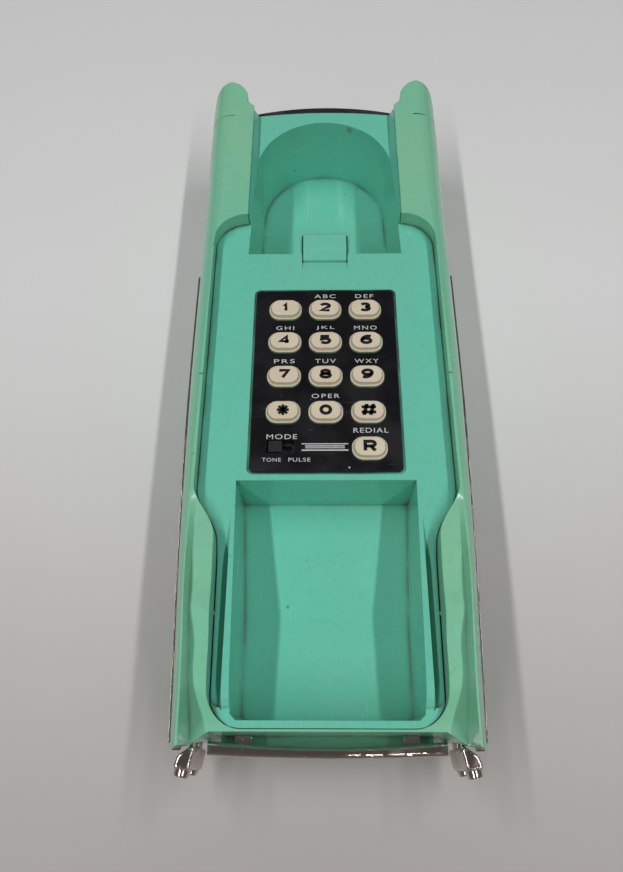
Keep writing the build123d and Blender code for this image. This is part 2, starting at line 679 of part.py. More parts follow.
def hook_spring():
    """Compression spring between the switch body and the plunger."""
    low, high, radius, wire = SWITCH_TOP + 0.1, PLUNGER_LOW - 0.1, 3.4, 0.35
    height = high - low - 2 * wire
    path = Helix(pitch=height / 6, height=height, radius=radius)
    start = Plane(origin=path @ 0, z_dir=path % 0)
    coil = sweep(start * Circle(wire), path=path, is_frenet=True)
    return Pos(0, HOOK_STEM_Y, low + wire) * coil


def hook_microswitch():
    """Small snap switch on the main board, with its plunger inside the spring."""
    body = block((-10, 10), (HOOK_STEM_Y - 4.4, HOOK_STEM_Y + 4.4), (MAIN_BOARD_TOP, SWITCH_TOP))
    body = chamfer(body.edges().filter_by(Axis.Z), 0.6)
    for x in (-5.1, 5.1):
        body -= Pos(x, HOOK_STEM_Y, 15) * Rot(90, 0, 0) * Cylinder(1.2, 20)
    return body + upright(1.1, 0, HOOK_STEM_Y, SWITCH_TOP - 1, STEM_LOW - HOOK_TRAVEL - 0.2)


def main_board():
    """Main circuit board with its tall parts, on the pan's standoffs."""
    board = block((-33, 33), (-2, 64), (MAIN_BOARD_LOW, MAIN_BOARD_TOP))
    for x, y in main_board_points():
        board -= upright(1.4, x, y, 0, 20)
    chips = [(-20, 20, 9, 20, 4), (6, 18, 8, 24, 4), (22, 10, 6, 6, 12), (24, 24, 5, 5, 9),
             (-24, 44, 10, 8, 12), (24, 42, 12, 9, 8)]
    for x, y, wide, long, tall in chips:
        board += block((x - wide / 2, x + wide / 2), (y - long / 2, y + long / 2),
                       (MAIN_BOARD_TOP - 0.1, MAIN_BOARD_TOP + tall * 0.8))
    return board


def main_board_points():
    return [(x, y) for x in (-30.0, 30.0) for y in (2.0, 60.0)]


def ribbon_cable():
    """Flat cable folded up from the main board to the keypad board."""
    path = FilletPolyline((-10, 4, MAIN_BOARD_TOP + 0.05), (-10, 4, 30), (-10, -2, 36),
                          (-10, -2, BOARD_TOP - BOARD_THICKNESS - 0.05), radius=2.5)
    plane = Plane(origin=path @ 0, z_dir=path % 0, x_dir=(1, 0, 0))
    return sweep(plane * Rectangle(20, 0.9), path=path)


# Sockets and ringer -------------------------------------------------------------------------------

def jack(y, z, front, opening):
    """Modular jack in the left side, open to the outside."""
    face_x = -SHOULDER_HALF_WIDTH + 1.0
    wide = front / 2
    tall = JACK_HEIGHT / 2
    body = block((face_x, face_x + JACK_DEPTH), (y - wide, y + wide), (z - tall, z + tall))
    body = chamfer(body.edges().filter_by(Axis.X), 0.5)
    body -= block((face_x - 1, face_x + 12), (y - opening / 2, y + opening / 2), (z - 3.4, z + 3.4))
    body -= block((face_x - 1, face_x + 12), (y - 3.0, y + 3.0), (z - 4.8, z - 3.3))
    body -= block((face_x - 1, face_x + 12), (y - 1.7, y + 1.7), (z - 5.6, z - 4.7))
    return body


def jack_posts():
    """Walls on the base plate that the jacks and the ringer switch stand on."""
    posts = Part()
    for y, z, front in (LINE_JACK, HANDSET_JACK):
        posts += block((-51.6, -41.5), (y - front / 2, y + front / 2), (FLANGE_LOW, z - JACK_HEIGHT / 2))
    posts += block((44.5, 50.5), (RINGER_Y - 8, RINGER_Y + 8), (FLANGE_LOW, RINGER_Z - 4))
    return posts


def ringer_switch():
    """Slide switch for the ringer's loudness, in the right side."""
    body = block((44.6, 51.6), (RINGER_Y - 8, RINGER_Y + 8), (RINGER_Z - 4, RINGER_Z + 4))
    body -= block((47.6, 60), (RINGER_Y - 4.6, RINGER_Y + 4.6), (RINGER_Z - 1.7, RINGER_Z + 1.7))
    knob_y = RINGER_Y - RINGER_TRAVEL / 2
    knob = block((48.0, SHOULDER_HALF_WIDTH + 0.2), (knob_y - 2.2, knob_y + 2.2),
                 (RINGER_Z - 1.4, RINGER_Z + 1.4))
    return body, chamfer(knob.faces().sort_by(Axis.X)[-1].edges(), 0.4)


SPEAKER_Y = -30.0
SPEAKER_RADIUS = 20.0


def ringer_speaker():
    """Loudspeaker, facing down on its gasket."""
    low = PAN_LOW + PLATE_SKIN + 1.0
    speaker = upright(SPEAKER_RADIUS, 0, SPEAKER_Y, low, low + 2.2)
    basket = Pos(0, SPEAKER_Y, low + 2.2 + 3.5) * Cone(SPEAKER_RADIUS - 2, 12, 7)
    speaker += basket + upright(11.5, 0, SPEAKER_Y, low + 8, low + 15)
    return speaker - upright(SPEAKER_RADIUS - 3, 0, SPEAKER_Y, low - 1, low + 1.0)


def speaker_gasket():
    low = PAN_LOW + PLATE_SKIN
    ring = upright(SPEAKER_RADIUS, 0, SPEAKER_Y, low, low + 1.0)
    return ring - upright(SPEAKER_RADIUS - 3, 0, SPEAKER_Y, low - 1, low + 2)


def ballast(y_low, y_high, top):
    """Steel plate that keeps the light base on the table."""
    low = PAN_LOW + PLATE_SKIN
    plate = block((-30, 30), (y_low, y_high), (low, top))
    plate = chamfer(plate.edges().filter_by(Axis.Z), 2)
    for x in (-24, 24):
        plate -= upright(2.0, x, (y_low + y_high) / 2, 0, 30)
    return plate


# Base ---------------------------------------------------------------------------------------------

def base_screw_points():
    corners = [(side * x, y) for x, y in (FRONT_BOSS, REAR_BOSS) for side in (-1, 1)]
    return corners + tray_post_points()


def base_plate():
    """Underside moulding with a deeper pan between the wheels."""
    inner = body_form(-BODY_WALL - 0.3, BODY_BOTTOM - 5)
    inner &= plan_prism(plan_outline(BODY_WALL + 0.3), 0, 80)
    inner &= block((-60, 60), (TAIL_END - 5, NOSE_END - 8.3), (0, 80))
    plate = inner & block((-60, 60), (-160, 160), (FLANGE_LOW, FLANGE_LOW + PLATE_SKIN))
    arch = WHEEL_RADIUS + ARCH_GAP + HOUSING_WALL + 0.5
    for _, y in wheel_stations():
        plate -= both_sides(block((HOUSING_INNER - 0.3, 60), (y - arch, y + arch), (0, 40)))
    middle = (PAN_FRONT + PAN_REAR) / 2
    length = PAN_FRONT - PAN_REAR
    pan_face = Pos(0, middle) * RectangleRounded(2 * PAN_HALF_WIDTH, length, 6)
    room_face = Pos(0, middle) * RectangleRounded(2 * PAN_HALF_WIDTH - 4, length - 4, 4)
    pan = plan_prism(pan_face, PAN_LOW, FLANGE_LOW + PLATE_SKIN)
    pan = fillet(pan.faces().sort_by(Axis.Z)[0].edges(), 1.2)
    plate = plate + pan - plan_prism(room_face, PAN_LOW + PLATE_SKIN, 60)
    for x, y in base_screw_points():
        plate -= upright(1.7, x, y, 0, 30)
    for x, y in main_board_points():
        plate += upright(2.6, x, y, PAN_LOW, MAIN_BOARD_LOW)
    for index in range(-3, 4):
        x = index * 4.0
        reach = math.sqrt((SPEAKER_RADIUS - 5) ** 2 - x * x)
        plate -= block((x - 0.9, x + 0.9), (SPEAKER_Y - reach, SPEAKER_Y + reach), (0, 10))
    for x, y in foot_points():
        plate -= upright(7.2, x, y, 0, PAN_LOW + 0.8)
    return plate + jack_posts()


def foot_points():
    return [(side * x, y) for x, y in FOOT_POINTS for side in (-1, 1)]


def rubber_feet():
    feet = []
    for x, y in foot_points():
        foot = upright(7.0, x, y, 0, PAN_LOW + 0.8)
        feet.append(chamfer(foot.faces().sort_by(Axis.Z)[0].edges(), 0.6))
    return Compound(children=feet)


def base_screws():
    """Pan-head screws up through the base plate."""
    screws = []
    for x, y in base_screw_points():
        head = upright(3.0, x, y, FLANGE_LOW - 2.0, FLANGE_LOW)
        head -= block((x - 2.2, x + 2.2), (y - 0.4, y + 0.4), (0, FLANGE_LOW - 1.0))
        head -= block((x - 0.4, x + 0.4), (y - 2.2, y + 2.2), (0, FLANGE_LOW - 1.0))
        screws.append(head + upright(1.25, x, y, FLANGE_LOW - 0.5, FLANGE_LOW + 11))
    return Compound(children=screws)


# Wheels -------------------------------------------------------------------------------------------

BAND_OUTER = 14.6
BAND_INNER = 11.6
HUB_RADIUS = 11.4


def revolved(points):
    """A closed (x, radius) outline turned about the X axis."""
    face = make_face(Polyline(*[(x, radius, 0) for x, radius in points], close=True))
    return revolve(face, axis=Axis.X)


def tyre(side, y):
    """Tyre with round shoulders and shallow tread grooves."""
    wide = TYRE_OUTER
    thin = TYRE_INNER
    outline = [(thin, 6.0), (thin, 15.5), (thin + 0.5, 17.6), (thin + 1.8, 19.1), (thin + 3.0, WHEEL_RADIUS),
               (wide - 2.8, WHEEL_RADIUS), (wide - 1.4, 19.0), (wide - 0.4, 17.4), (wide, BAND_OUTER + 0.2),
               (wide - 0.7, BAND_OUTER), (wide - 0.7, BAND_INNER - 0.4), (wide - 2.2, BAND_INNER - 0.4),
               (wide - 2.2, 6.0)]
    rubber = revolved(outline)
    for x in (thin + 3.9, (thin + wide) / 2, wide - 3.9):
        rubber -= revolved([(x - 0.35, 18.7), (x - 0.35, 21), (x + 0.35, 21), (x + 0.35, 18.7)])
    return place_wheel(rubber, side, y)


def white_band(side, y):
    wide = TYRE_OUTER
    band = revolved([(wide - 0.65, BAND_INNER), (wide - 0.65, BAND_OUTER - 0.05),
                     (wide - 0.1, BAND_OUTER - 0.4), (wide + 0.05, (BAND_OUTER + BAND_INNER) / 2),
                     (wide - 0.1, BAND_INNER)])
    return place_wheel(band, side, y)


def hub_cap(side, y):
    """Domed wheel cover with a raised centre and a hub behind it."""
    wide = TYRE_OUTER
    cap = revolved([(wide - 2.1, 0), (wide - 2.1, HUB_RADIUS - 0.4), (wide - 0.9, HUB_RADIUS - 0.4),
                    (wide - 0.3, HUB_RADIUS - 0.9), (wide + 0.1, HUB_RADIUS - 1.8), (wide - 0.5, 8.4),
                    (wide - 0.4, 6.6), (wide + 0.2, 5.6), (wide + 0.9, 3.4), (wide + 1.2, 1.6),
                    (wide + 1.3, 0)])
    hub = revolved([(TYRE_INNER, 0), (TYRE_INNER, 5.9), (wide - 2.0, 5.9), (wide - 2.0, 0)])
    hub -= revolved([(TYRE_INNER - 1, 0), (TYRE_INNER - 1, 1.3), (TYRE_INNER + 5, 1.3), (TYRE_INNER + 5, 0)])
    return place_wheel(cap + hub, side, y)


def place_wheel(shape, side, y):
    placed = Pos(0, y, WHEEL_Z) * shape
    return placed if side > 0 else mirror(placed, about=Plane.YZ)


def wheel_screw(side, y):
    """Screw from inside the housing into the wheel's hub."""
    head = HOUSING_INNER
    screw = revolved([(head - 1.6, 0), (head - 1.6, 2.4), (head, 2.4), (head, 1.2), (TYRE_INNER + 4.5, 1.2),
                      (TYRE_INNER + 4.5, 0)])
    return place_wheel(screw, side, y)


# Bright parts -------------------------------------------------------------------------------------

def bowed_band(half_width, rear_arc, front_arc, low, high):
    """A band that bows along Y: each arc is its Y at the ends and its Y in the middle."""
    sides = [ThreePointArc((-half_width, end), (0, middle), (half_width, end))
             for end, middle in (rear_arc, front_arc)]
    near, far = sides
    ends = [Line((side * half_width, rear_arc[0]), (side * half_width, front_arc[0])) for side in (-1, 1)]
    face = make_face([*near.edges(), *far.edges(), *ends[0].edges(), *ends[1].edges()])
    return plan_prism(face, low, high)


def grille():
    """Dark bowed panel between the fenders, with bars cut into its front."""
    back = (SHELF_SIDE_Y + 0.1, SHELF_FRONT_Y + 0.1)
    panel = bowed_band(SHELF_HALF_WIDTH - 0.4, back, (back[0] + 2.4, back[1] + 4.2), 24, 50.4)
    slots = Part()
    for index in range(5):
        z = 28 + index * 4.2
        slots += bowed_band(31, (back[0] + 1.4, back[1] + 1.6), (back[0] + 8, back[1] + 8), z, z + 3.0)
    ribs = Part()
    for index in range(-7, 8):
        ribs += block((index * 4.1 - 0.4, index * 4.1 + 0.4), (130, 150), (20, 60))
    return panel - (slots - ribs)


def front_bumper():
    """Wrap-round front bumper with two round guards."""
    bar = bowed_band(54.0, (152.0, 155.4), (155.8, 159.2), 13.5, 24.5)
    bar = fillet(bar.edges().filter_by(GeomType.CIRCLE), 1.5)
    bar = fillet(bar.edges().filter_by(Axis.Z), 1.2)
    for side in (-1, 1):
        guard = along(4.6, side * 22, 150, 156.6, 22.5)
        dome = Pos(side * 22, 155.4, 22.5) * Sphere(4.6)
        bar += guard + dome
        bar += block((side * 30 - 3, side * 30 + 3), (SHELF_SIDE_Y + 1.0, 154.5), (15.5, 22.5))
    return bar


def head_lamp(side):
    """Bright ring and clear lens under the fender's hood."""
    x, z = 47.2, 43.6
    ring = along(6.9, x, 151.6, 155.6, z) - along(5.6, x, 150, 160, z)
    ring = fillet(ring.edges().filter_by(GeomType.CIRCLE).sort_by(Axis.Y)[-2:], 0.5)
    lens = along(5.5, x, 151.6, 153.8, z)
    dome = Pos(x, 145.2, z) * Sphere(10.6)
    lens += dome & along(5.5, x, 153.5, 160, z)
    parts = []
    for shape in (ring, lens):
        parts.append(shape if side > 0 else mirror(shape, about=Plane.YZ))
    return parts


def rear_bumper():
    """Thin bowed bar from pod to pod, on two arms."""
    bar = bowed_band(42.5, (-154.2, -155.2), (-149.5, -151.4), 18.5, 27.5)
    bar = fillet(bar.edges().filter_by(GeomType.CIRCLE), 1.4)
    for side in (-1, 1):
        bar += block((side * 30 - 3, side * 30 + 3), (-152.6, REAR_PANEL_Y - 0.05), (20.5, 25.5))
    return bar


def rear_pod(side):
    """Bumper end: a rounded upright that leans outwards, with two round tips facing back."""
    corners = [(43.9, -150.4), (50.3, -154.4), (51.6, -158.3), (45.8, -159.1)]
    pod = plan_prism(make_face(Polyline(*corners, close=True)), 17, 42.5)
    pod = fillet(pod.edges().filter_by(Axis.Z), 1.2)
    pod = fillet(pod.faces().sort_by(Axis.Z)[-1].edges(), 1.0)
    for z, length in ((38.0, 3.4), (22.5, 2.6)):
        tip = Cone(2.5, 3.1, length)
        tip = fillet(tip.edges().filter_by(GeomType.CIRCLE).sort_by(Axis.Z)[0], 0.7)
        pod += Pos(48.9, -157.8 - length / 2, z) * Rot(0, 0, 12) * Rot(-90, 0, 0) * tip
    pod += block((45.4, 48.6), (-154.5, TAIL_FACE_Y - 0.05), (20.0, 29.5))
    return pod if side > 0 else mirror(pod, about=Plane.YZ)


def tail_lamp_pocket():
    """Recess for the right tail lamp in the fin's slanted end."""
    return block((48.4, 50.3), (-156, -147.5), (44.9, 53.1))


def tail_lamp(side):
    """Red lens let into the slanted end of the fin."""
    lens = block((48.5, 50.2), (-153.2, -147.7), (45.0, 53.0))
    lens = fillet(lens.faces().sort_by(Axis.Y)[0].edges(), 0.6)
    return lens if side > 0 else mirror(lens, about=Plane.YZ)


TRIM_GROW = 0.95
TRIM_PANEL_GROW = 0.5
TRIM_FRONT = 42.0
TRIM_TOP = 46.2
TRIM_STRIP = 2.0
TRIM_WIDENS = -22.0
TRIM_PANEL_FOOT = 29.0
TRIM_PANEL_FRONT = -104.0


def side_trims():
    """Bright spear along each side that widens into a ribbed panel on the quarter."""
    surface = half_form()
    raised = half_form(TRIM_GROW) - surface
    sunk = half_form(TRIM_PANEL_GROW) - surface
    tail = TAIL_END + 2.8
    foot = TRIM_TOP - TRIM_STRIP
    spear = [(TRIM_FRONT, TRIM_TOP - 0.2), (TRIM_WIDENS + 8, TRIM_TOP - 0.2), (TRIM_WIDENS, TRIM_TOP + 0.6),
             (tail, TRIM_TOP + 0.6), (tail, foot - 0.6), (TRIM_WIDENS, foot - 0.6),
             (TRIM_WIDENS + 8, foot + 0.2), (TRIM_FRONT, foot + 0.2)]
    trim = raised & side_prism(spear, 50, 60)
    panel = [(TRIM_PANEL_FRONT + 2, foot), (tail, foot), (tail + 1.8, TRIM_PANEL_FOOT),
             (TRIM_PANEL_FRONT - 4, TRIM_PANEL_FOOT)]
    trim += sunk & side_prism(panel, 50, 60)
    for index in range(6):
        z = TRIM_PANEL_FOOT + index * 2.5
        front = TRIM_PANEL_FRONT - 3
        rib = [(front, z), (tail + 1.6, z), (tail + 1.6, z + 1.1), (front, z + 1.1)]
        trim += raised & side_prism(rib, 50, 60)
    for _, y in wheel_stations():
        trim -= across(WHEEL_RADIUS + ARCH_GAP + 0.6, 40, 70, y, WHEEL_Z)
    return {"right": trim, "left": mirror(trim, about=Plane.YZ)}


# Assembly -----------------------------------------------------------------------------------------

def build():
    outer = body_form()
    trims = side_trims()
    keep("body_shell", body_shell(outer))
    keep("cradle_tray", cradle_tray())
    keep("base_plate", base_plate())
    keep("keypad_plate", keypad_plate())
    cap = key_cap()
    for name, (x, y) in key_places().items():
        keep(f"key_{name}", Pos(x, y, 0) * cap)
    keep("key_mat", key_mat())
    keep("keypad_board", keypad_board())
    keep("keypad_screws", board_screws())
    mode_body, mode_knob = mode_switch()
    keep("mode_switch_body", mode_body)
    keep("mode_knob", mode_knob)
    keep("hook_button", hook_button())
    keep("hook_spring", hook_spring())
    keep("hook_microswitch", hook_microswitch())
    keep("main_board", main_board())
    keep("ribbon_cable", ribbon_cable())
    keep("line_jack", jack(*LINE_JACK, 9.8))
    keep("handset_jack", jack(*HANDSET_JACK, 7.8))
    ringer_body, ringer_knob = ringer_switch()
    keep("ringer_switch_body", ringer_body)
    keep("ringer_knob", ringer_knob)
    keep("ringer_speaker", ringer_speaker())
    keep("speaker_gasket", speaker_gasket())
    keep("ballast_rear", ballast(-94, -62, 13.0))
    keep("ballast_front", ballast(74, 106, 13.0))
    keep("rubber_feet", rubber_feet())
    keep("base_screws", base_screws())
    bands = []
    screws = []
    for end, y in wheel_stations():
        for side_name, side in SIDES:
            keep(f"tyre_{end}_{side_name}", tyre(side, y))
            keep(f"hub_cap_{end}_{side_name}", hub_cap(side, y))
            bands.append(white_band(side, y))
            screws.append(wheel_screw(side, y))
    keep("white_bands", Compound(children=bands))
    keep("wheel_screws", Compound(children=screws))
    keep("grille", grille())
    keep("front_bumper", front_bumper())
    keep("rear_bumper", rear_bumper())
    for side_name, side in SIDES:
        bezel, lens = head_lamp(side)
        keep(f"head_lamp_ring_{side_name}", bezel)
        keep(f"head_lamp_lens_{side_name}", lens)
        keep(f"rear_pod_{side_name}", rear_pod(side))
        keep(f"tail_lamp_{side_name}", tail_lamp(side))
        keep(f"side_trim_{side_name}", trims[side_name])


build()
os.makedirs("parts", exist_ok=True)
for name, shape in PARTS.items():
    export_step(shape, f"parts/{name}.step")
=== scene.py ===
import json
import math

import bmesh
import bpy
from mathutils import Matrix, Vector


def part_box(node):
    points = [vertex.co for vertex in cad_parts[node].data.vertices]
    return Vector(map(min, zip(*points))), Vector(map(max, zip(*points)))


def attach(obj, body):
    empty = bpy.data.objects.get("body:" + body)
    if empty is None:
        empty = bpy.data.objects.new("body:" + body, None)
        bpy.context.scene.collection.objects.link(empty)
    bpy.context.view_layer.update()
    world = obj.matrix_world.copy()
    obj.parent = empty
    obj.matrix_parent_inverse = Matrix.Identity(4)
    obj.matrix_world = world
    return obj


# The looks of a novelty car-shaped telephone base. Metres in the scene; MM turns millimetres into metres.
# +Y is the car's front, +X its right side, +Z up, and it stands on the floor at z = 0.

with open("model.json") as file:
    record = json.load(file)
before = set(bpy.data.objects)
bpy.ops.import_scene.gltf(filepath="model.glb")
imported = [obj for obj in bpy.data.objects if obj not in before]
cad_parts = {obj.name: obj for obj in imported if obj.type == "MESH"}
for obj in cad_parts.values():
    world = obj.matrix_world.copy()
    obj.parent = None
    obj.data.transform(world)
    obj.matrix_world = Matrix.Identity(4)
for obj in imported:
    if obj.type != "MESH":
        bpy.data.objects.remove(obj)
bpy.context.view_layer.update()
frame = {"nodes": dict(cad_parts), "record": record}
MM = 0.001
NODES = frame["nodes"]
scene = bpy.context.scene
scene.view_settings.view_transform = "Standard"


# Camera, lights and floor -------------------------------------------------------------------------

CAMERA_PLACE = Vector((-1.66, -159.55, 294.6)) * MM
CAMERA_DIP = math.radians(63.97)
CAMERA_YAW = math.radians(1.93)
CAMERA_ROLL = math.radians(-1.91)
CAMERA_LENS = 28.49


def add_camera():
    """A hand-held camera above the car's tail, looking down and forwards."""
    level = Vector((math.cos(CAMERA_YAW), math.sin(CAMERA_YAW), 0))
    ahead = Vector((-math.sin(CAMERA_YAW), math.cos(CAMERA_YAW), 0)) * math.cos(CAMERA_DIP)
    ahead.z = -math.sin(CAMERA_DIP)
    below = ahead.cross(level)
    right = math.cos(CAMERA_ROLL) * level - math.sin(CAMERA_ROLL) * below
    down = math.sin(CAMERA_ROLL) * level + math.cos(CAMERA_ROLL) * below
    turn = Matrix((right, -down, -ahead)).transposed().to_4x4()
    data = bpy.data.cameras.new("camera")
    data.lens = CAMERA_LENS
    data.clip_start = 0.01
    camera = bpy.data.objects.new("camera", data)
    camera.matrix_world = Matrix.Translation(CAMERA_PLACE) @ turn
    scene.collection.objects.link(camera)
    scene.camera = camera


def add_lamp(name, place, size, power, colour):
    """A long lamp parallel to Y that faces the line under the camera; size is across and along it."""
    data = bpy.data.lights.new(name, "AREA")
    data.shape = "RECTANGLE"
    data.size, data.size_y = size
    data.energy = power
    data.color = colour
    lamp = bpy.data.objects.new(name, data)
    lamp.location = place
    lamp.rotation_mode = "QUATERNION"
    back = Vector((place[0], 0, place[2])).normalized()
    along = Vector((0, 1, 0))
    lamp.rotation_quaternion = Matrix((along.cross(back), along, back)).transposed().to_quaternion()
    scene.collection.objects.link(lamp)


def add_lights():
    """Two long ceiling lamps beside each other, parallel to the car, and a soft room."""
    for name, x, power in (("lamp_left", -0.76, 16.0), ("lamp_right", 0.76, 14.7)):
        add_lamp(name, (x, -0.45, 1.72), (0.06, 2.4), power, (1.0, 0.99, 0.98))
    world = bpy.data.worlds.new("room")
    world.use_nodes = True
    scene.world = world
    nodes, links = world.node_tree.nodes, world.node_tree.links
    direction = nodes.new("ShaderNodeTexCoord").outputs["Generated"]
    split = nodes.new("ShaderNodeSeparateXYZ")
    links.new(direction, split.inputs[0])
    height = nodes.new("ShaderNodeValToRGB")
    height.color_ramp.elements[0].position = 0.02
    height.color_ramp.elements[0].color = (0.36, 0.31, 0.29, 1)
    height.color_ramp.elements[1].position = 0.50
    height.color_ramp.elements[1].color = (0.95, 0.96, 0.97, 1)
    overhead = height.color_ramp.elements.new(0.97)
    overhead.color = (0.55, 0.54, 0.53, 1)
    links.new(split.outputs["Z"], height.inputs[0])
    background = nodes["Background"]
    links.new(height.outputs[0], background.inputs["Color"])
    background.inputs["Strength"].default_value = 0.15


# Material recipes ---------------------------------------------------------------------------------

class Recipe:
    """One node material. Each short call adds a node and returns its output socket."""

    def __init__(self, name):
        self.material = bpy.data.materials.new(name)
        self.material.use_nodes = True
        self.nodes = self.material.node_tree.nodes
        self.links = self.material.node_tree.links
        self.nodes.clear()
        self.shader = self.nodes.new("ShaderNodeBsdfPrincipled")
        output = self.nodes.new("ShaderNodeOutputMaterial")
        self.links.new(self.shader.outputs[0], output.inputs["Surface"])
        self.place = self.nodes.new("ShaderNodeTexCoord").outputs["Object"]

    def feed(self, socket, value):
        """Link an output to a socket, or set a plain number or colour on it."""
        if isinstance(value, bpy.types.NodeSocket):
            self.links.new(value, socket)
        elif isinstance(value, (int, float)):
            socket.default_value = value
        elif socket.type == "RGBA":
            socket.default_value = (*value[:3], 1.0)
        else:
            socket.default_value = value

    def set(self, **values):
        """Set the Principled shader's sockets; an underscore stands for a space."""
        for name, value in values.items():
            self.feed(self.shader.inputs[name.replace("_", " ")], value)

    def maths(self, operation, a, b=0.0):
        node = self.nodes.new("ShaderNodeMath")
        node.operation = operation
        self.feed(node.inputs[0], a)
        self.feed(node.inputs[1], b)
        return node.outputs[0]

    def share(self, value, low, high):
        """0 at low, 1 at high, smooth between them; low may be above high."""
        node = self.nodes.new("ShaderNodeMapRange")
        node.interpolation_type = "SMOOTHSTEP"
        self.feed(node.inputs["Value"], value)
        node.inputs["From Min"].default_value = low
        node.inputs["From Max"].default_value = high
        return node.outputs[0]

    def between(self, mask, low, high):
        """A number that goes from low to high as the mask goes from 0 to 1."""
        node = self.nodes.new("ShaderNodeMapRange")
        self.feed(node.inputs["Value"], mask)
        node.inputs["To Min"].default_value = low
        node.inputs["To Max"].default_value = high
        return node.outputs[0]

    def mix(self, mask, base, over):
        """The colour base, turning to over where the mask is 1."""
        node = self.nodes.new("ShaderNodeMix")
        node.data_type = "RGBA"
        colours = [socket for socket in node.inputs if socket.type == "RGBA"]
        self.feed(node.inputs[0], mask)
        self.feed(colours[0], base)
        self.feed(colours[1], over)
        return [socket for socket in node.outputs if socket.type == "RGBA"][0]

    def stretched(self, scale, shift=(0, 0, 0)):
        node = self.nodes.new("ShaderNodeMapping")
        self.links.new(self.place, node.inputs["Vector"])
        node.inputs["Scale"].default_value = scale
        node.inputs["Location"].default_value = shift
        return node.outputs[0]

    def noise(self, per_metre, detail=3.0, scale=(1, 1, 1), shift=(0, 0, 0)):
        node = self.nodes.new("ShaderNodeTexNoise")
        self.links.new(self.stretched(scale, shift), node.inputs["Vector"])
        node.inputs["Scale"].default_value = per_metre
        node.inputs["Detail"].default_value = detail
        return node.outputs["Fac"]

    def specks(self, per_metre, radius, rarity, shift=(0, 0, 0)):
        """Small round specks of uneven size in a few of a grid of random cells."""
        node = self.nodes.new("ShaderNodeTexVoronoi")
        self.links.new(self.stretched((1, 1, 1), shift), node.inputs["Vector"])
        node.inputs["Scale"].default_value = per_metre
        split = self.nodes.new("ShaderNodeSeparateColor")
        self.links.new(node.outputs["Color"], split.inputs[0])
        chosen = self.share(split.outputs[0], rarity, rarity + 0.02)
        size = self.maths("MULTIPLY", split.outputs[1], radius)
        inside = self.maths("LESS_THAN", node.outputs["Distance"], size)
        return self.maths("MULTIPLY", chosen, inside)

    def crevice(self, reach, low=0.45, high=0.8):
        """1 deep in corners and gaps narrower than reach, 0 in the open."""
        node = self.nodes.new("ShaderNodeAmbientOcclusion")
        node.samples = 6
        node.inputs["Distance"].default_value = reach
        return self.share(node.outputs["AO"], high, low)

    def rounded(self, radius):
        """Shading normal that rounds sharp edges off."""
        node = self.nodes.new("ShaderNodeBevel")
        node.samples = 4
        node.inputs["Radius"].default_value = radius
        return node.outputs[0]

    def edge(self, radius):
        """1 along edges and corners, where the rounded normal leaves the true one."""
        shape = self.nodes.new("ShaderNodeNewGeometry")
        node = self.nodes.new("ShaderNodeVectorMath")
        node.operation = "DOT_PRODUCT"
        self.links.new(shape.outputs["Normal"], node.inputs[0])
        self.links.new(self.rounded(radius), node.inputs[1])
        return self.share(node.outputs["Value"], 0.995, 0.85)

    def bump(self, height, depth, normal=None, strength=1.0):
        """Normal of a surface raised by height times depth metres."""
        node = self.nodes.new("ShaderNodeBump")
        node.inputs["Distance"].default_value = depth
        node.inputs["Strength"].default_value = strength
        self.links.new(height, node.inputs["Height"])
        if normal is not None:
            self.links.new(normal, node.inputs["Normal"])
        return node.outputs[0]

    def axis(self, name):
        split = self.nodes.new("ShaderNodeSeparateXYZ")
        self.links.new(self.place, split.inputs[0])
        return split.outputs[name]

    def near(self, point, radius, soft, flat=True):
        """1 inside a circle seen from above (or a ball), fading out over soft."""
        node = self.nodes.new("ShaderNodeVectorMath")
        node.operation = "SUBTRACT"
        self.links.new(self.place, node.inputs[0])
        node.inputs[1].default_value = point
        squash = self.nodes.new("ShaderNodeVectorMath")
        squash.operation = "MULTIPLY"
        self.links.new(node.outputs[0], squash.inputs[0])
        squash.inputs[1].default_value = (1, 1, 0) if flat else (1, 1, 1)
        length = self.nodes.new("ShaderNodeVectorMath")
        length.operation = "LENGTH"
        self.links.new(squash.outputs[0], length.inputs[0])
        return self.share(length.outputs["Value"], radius + soft, radius)


# Dark brown of dirt specks, also used as painted shade in corners and crevices.
GRIME_AND_SHADE = (0.075, 0.058, 0.032)
DUST = (0.62, 0.58, 0.50)


